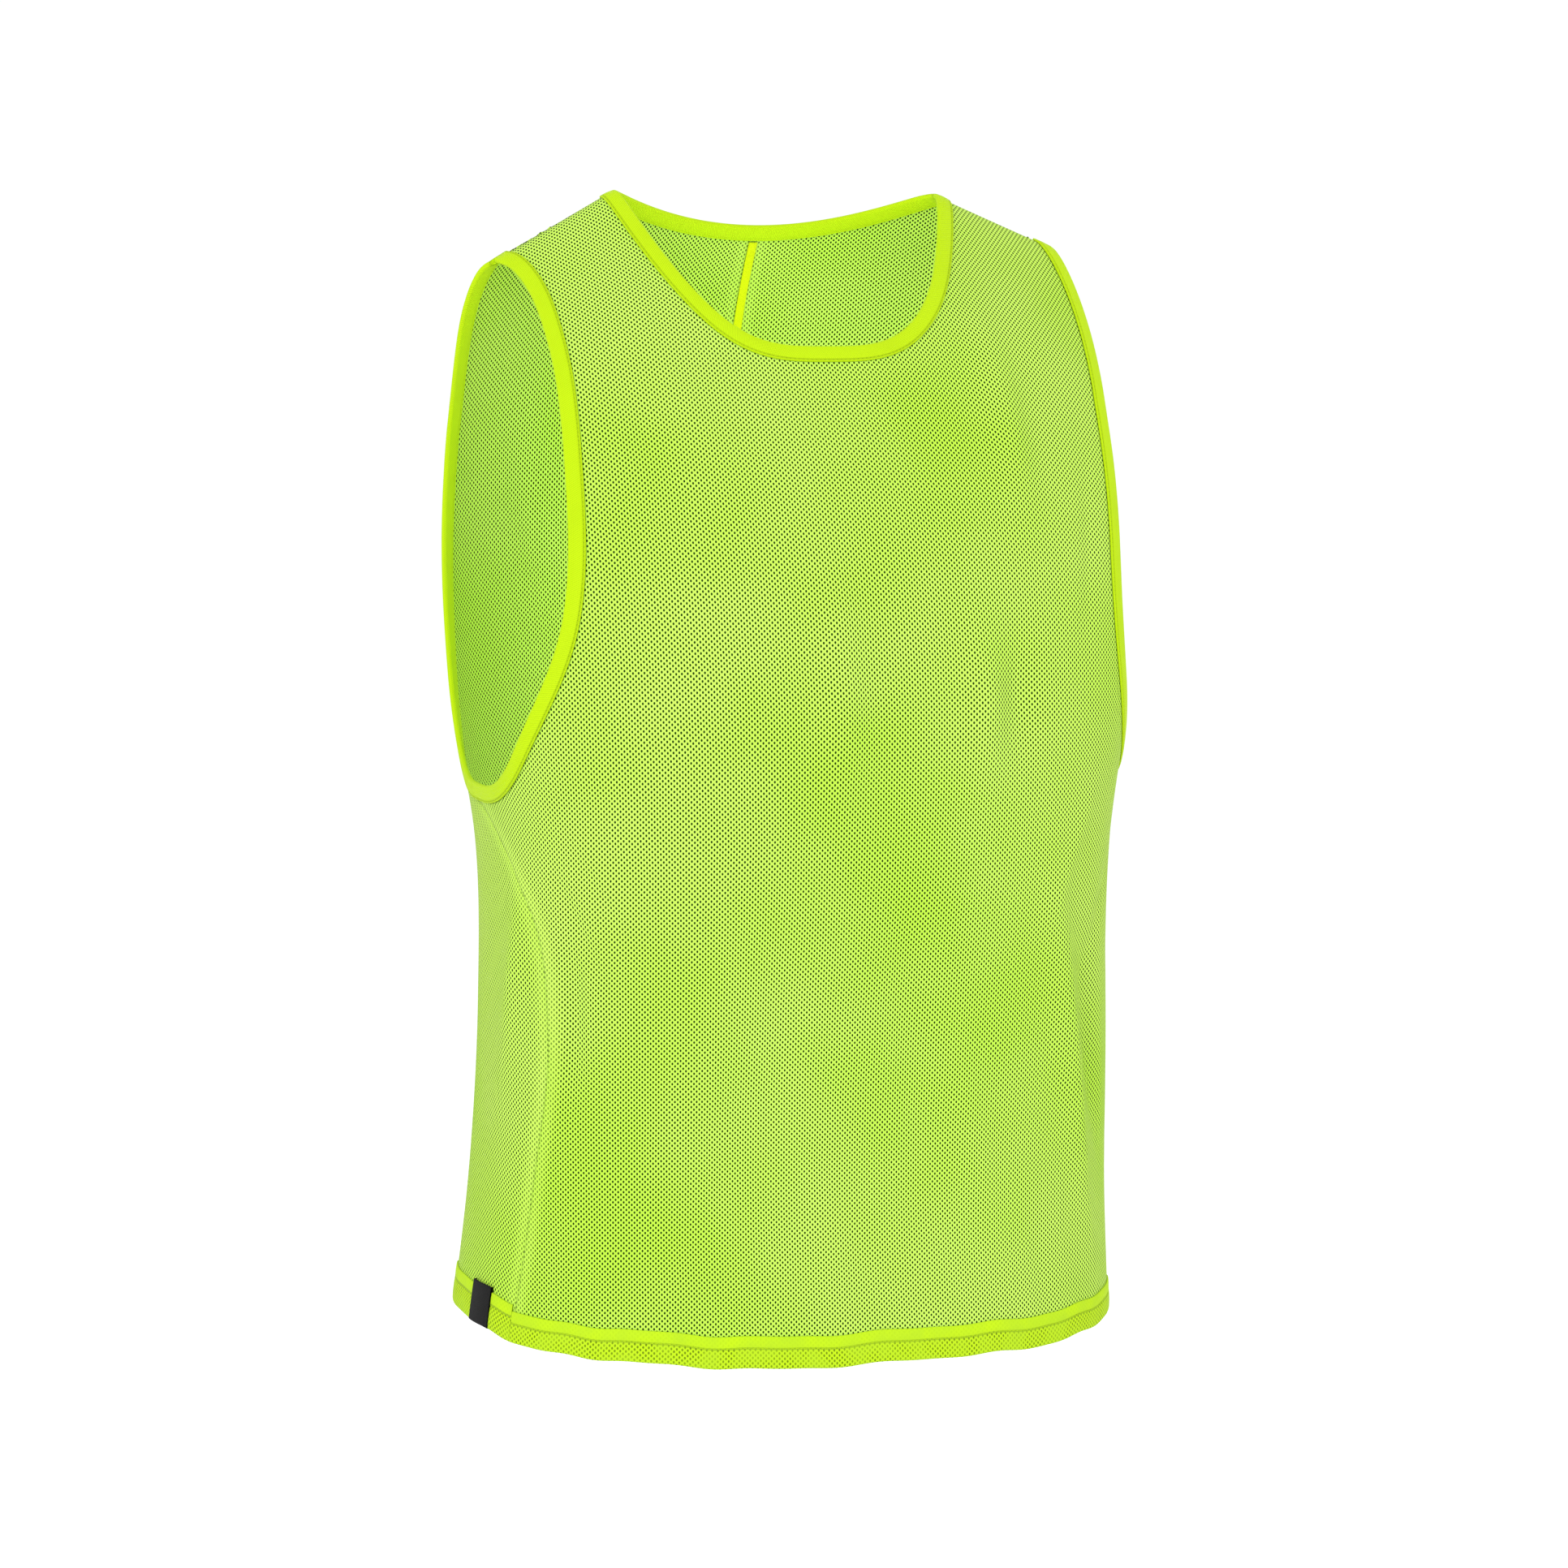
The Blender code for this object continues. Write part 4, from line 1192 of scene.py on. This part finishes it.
class BIB_OT_stage(bpy.types.Operator):
    """Makes the floor, the lamps and the camera"""

    bl_idname = "bib.stage"
    bl_label = "Stage"

    def execute(self, context):
        scene = context.scene
        stage = scene.bib_stage
        deselect()
        bpy.ops.mesh.primitive_circle_add(
            vertices=96, radius=stage.floor_radius, fill_type="NGON", location=(0, 0, stage.floor_height)
        )
        floor = context.object
        floor.name = "studio floor"
        paint, _, shader = new_material("matt floor paint", 0.9, 0.0, 0.5)
        shader.inputs["Base Color"].default_value = scene.bib_colours.floor
        floor.data.materials.append(paint)
        self.add_room(scene, stage)
        centre = Vector((0, 0, -0.35))
        for name, power, size, place in (
            ("key lamp", stage.key, 2.2, Vector((-2.1, -2.4, 1.1))),
            ("fill lamp", stage.fill, 2.4, Vector((2.6, -1.7, 0.4))),
            ("back lamp", stage.back, 2.0, Vector((0.6, 2.6, 1.3))),
        ):
            lamp = bpy.data.lights.new(name, "AREA")
            lamp.energy = power
            lamp.shape = "SQUARE"
            lamp.size = size
            thing = bpy.data.objects.new(name, lamp)
            thing.location = place
            thing.rotation_euler = (centre - place).to_track_quat("-Z", "Y").to_euler()
            scene.collection.objects.link(thing)
        # The holes are drawn, not cut, so small soft lamps stand for the light that comes through them
        for height in GLOW_HEIGHTS:
            glow = bpy.data.lights.new("glow lamp", "POINT")
            glow.energy = stage.glow
            glow.shadow_soft_size = 0.05
            thing = bpy.data.objects.new("glow lamp", glow)
            thing.location = (0, -0.035, height)
            thing.visible_camera = False
            scene.collection.objects.link(thing)
        self.add_camera(scene, stage)
        return {"FINISHED"}

    def add_room(self, scene, stage):
        """The even pale light of a studio."""
        world = bpy.data.worlds.new("studio")
        world.use_nodes = True
        background = world.node_tree.nodes["Background"]
        background.inputs["Color"].default_value = (1.0, 1.0, 1.0, 1.0)
        background.inputs["Strength"].default_value = stage.sky
        scene.world = world
        scene.view_settings.view_transform = "Standard"

    def add_camera(self, scene, stage):
        """The camera, at the angle and distance that the outline was fitted with."""
        camera = bpy.data.cameras.new("camera")
        camera.lens = stage.focal
        camera.sensor_width = 36.0
        camera.sensor_fit = "HORIZONTAL"
        thing = bpy.data.objects.new("camera", camera)
        heading = stage.turn + stage.aim
        level = math.cos(stage.pitch)
        forward = Vector((math.sin(heading) * level, math.cos(heading) * level, -math.sin(stage.pitch)))
        right = forward.cross(Vector((0, 0, 1))).normalized()
        up = right.cross(forward)
        cosine = math.cos(stage.roll)
        sine = math.sin(stage.roll)
        right, up = right * cosine + up * sine, up * cosine - right * sine
        turned = Matrix((right, up, -forward)).transposed().to_4x4()
        away = stage.distance
        place = Vector((-math.sin(stage.turn) * away, -math.cos(stage.turn) * away, stage.height))
        thing.matrix_world = Matrix.Translation(place) @ turned
        scene.collection.objects.link(thing)
        scene.camera = thing


class BIB_PT_panel(bpy.types.Panel):
    """Sidebar panel that makes the bib"""

    bl_idname = "BIB_PT_panel"
    bl_label = "Training bib"
    bl_space_type = "VIEW_3D"
    bl_region_type = "UI"
    bl_category = "Bib"

    def draw(self, context):
        layout = self.layout
        for operator in OPERATORS:
            layout.operator(operator.bl_idname)
        for group in (context.scene.bib_sizes, context.scene.bib_colours, context.scene.bib_stage):
            box = layout.box()
            for name in group.__annotations__:
                box.prop(group, name)


OPERATORS = (BIB_OT_panels, BIB_OT_bindings, BIB_OT_hems, BIB_OT_tape, BIB_OT_label, BIB_OT_stage)
GROUPS = {"bib_sizes": BibSizes, "bib_colours": BibColours, "bib_stage": BibStage}


def register():
    """Registers the classes and the scene's settings."""
    for group in GROUPS.values():
        bpy.utils.register_class(group)
    for name, group in GROUPS.items():
        setattr(bpy.types.Scene, name, bpy.props.PointerProperty(type=group))
    for operator in OPERATORS:
        bpy.utils.register_class(operator)
    bpy.utils.register_class(BIB_PT_panel)


def unregister():
    """Takes the classes and the settings away."""
    bpy.utils.unregister_class(BIB_PT_panel)
    for operator in reversed(OPERATORS):
        bpy.utils.unregister_class(operator)
    for name, group in GROUPS.items():
        delattr(bpy.types.Scene, name)
        bpy.utils.unregister_class(group)


def main():
    """Makes the whole scene."""
    register()
    bpy.ops.bib.tape()
    bpy.ops.bib.panels()
    bpy.ops.bib.bindings()
    bpy.ops.bib.hems()
    bpy.ops.bib.label()
    bpy.ops.bib.stage()


if __name__ == "__main__":
    main()
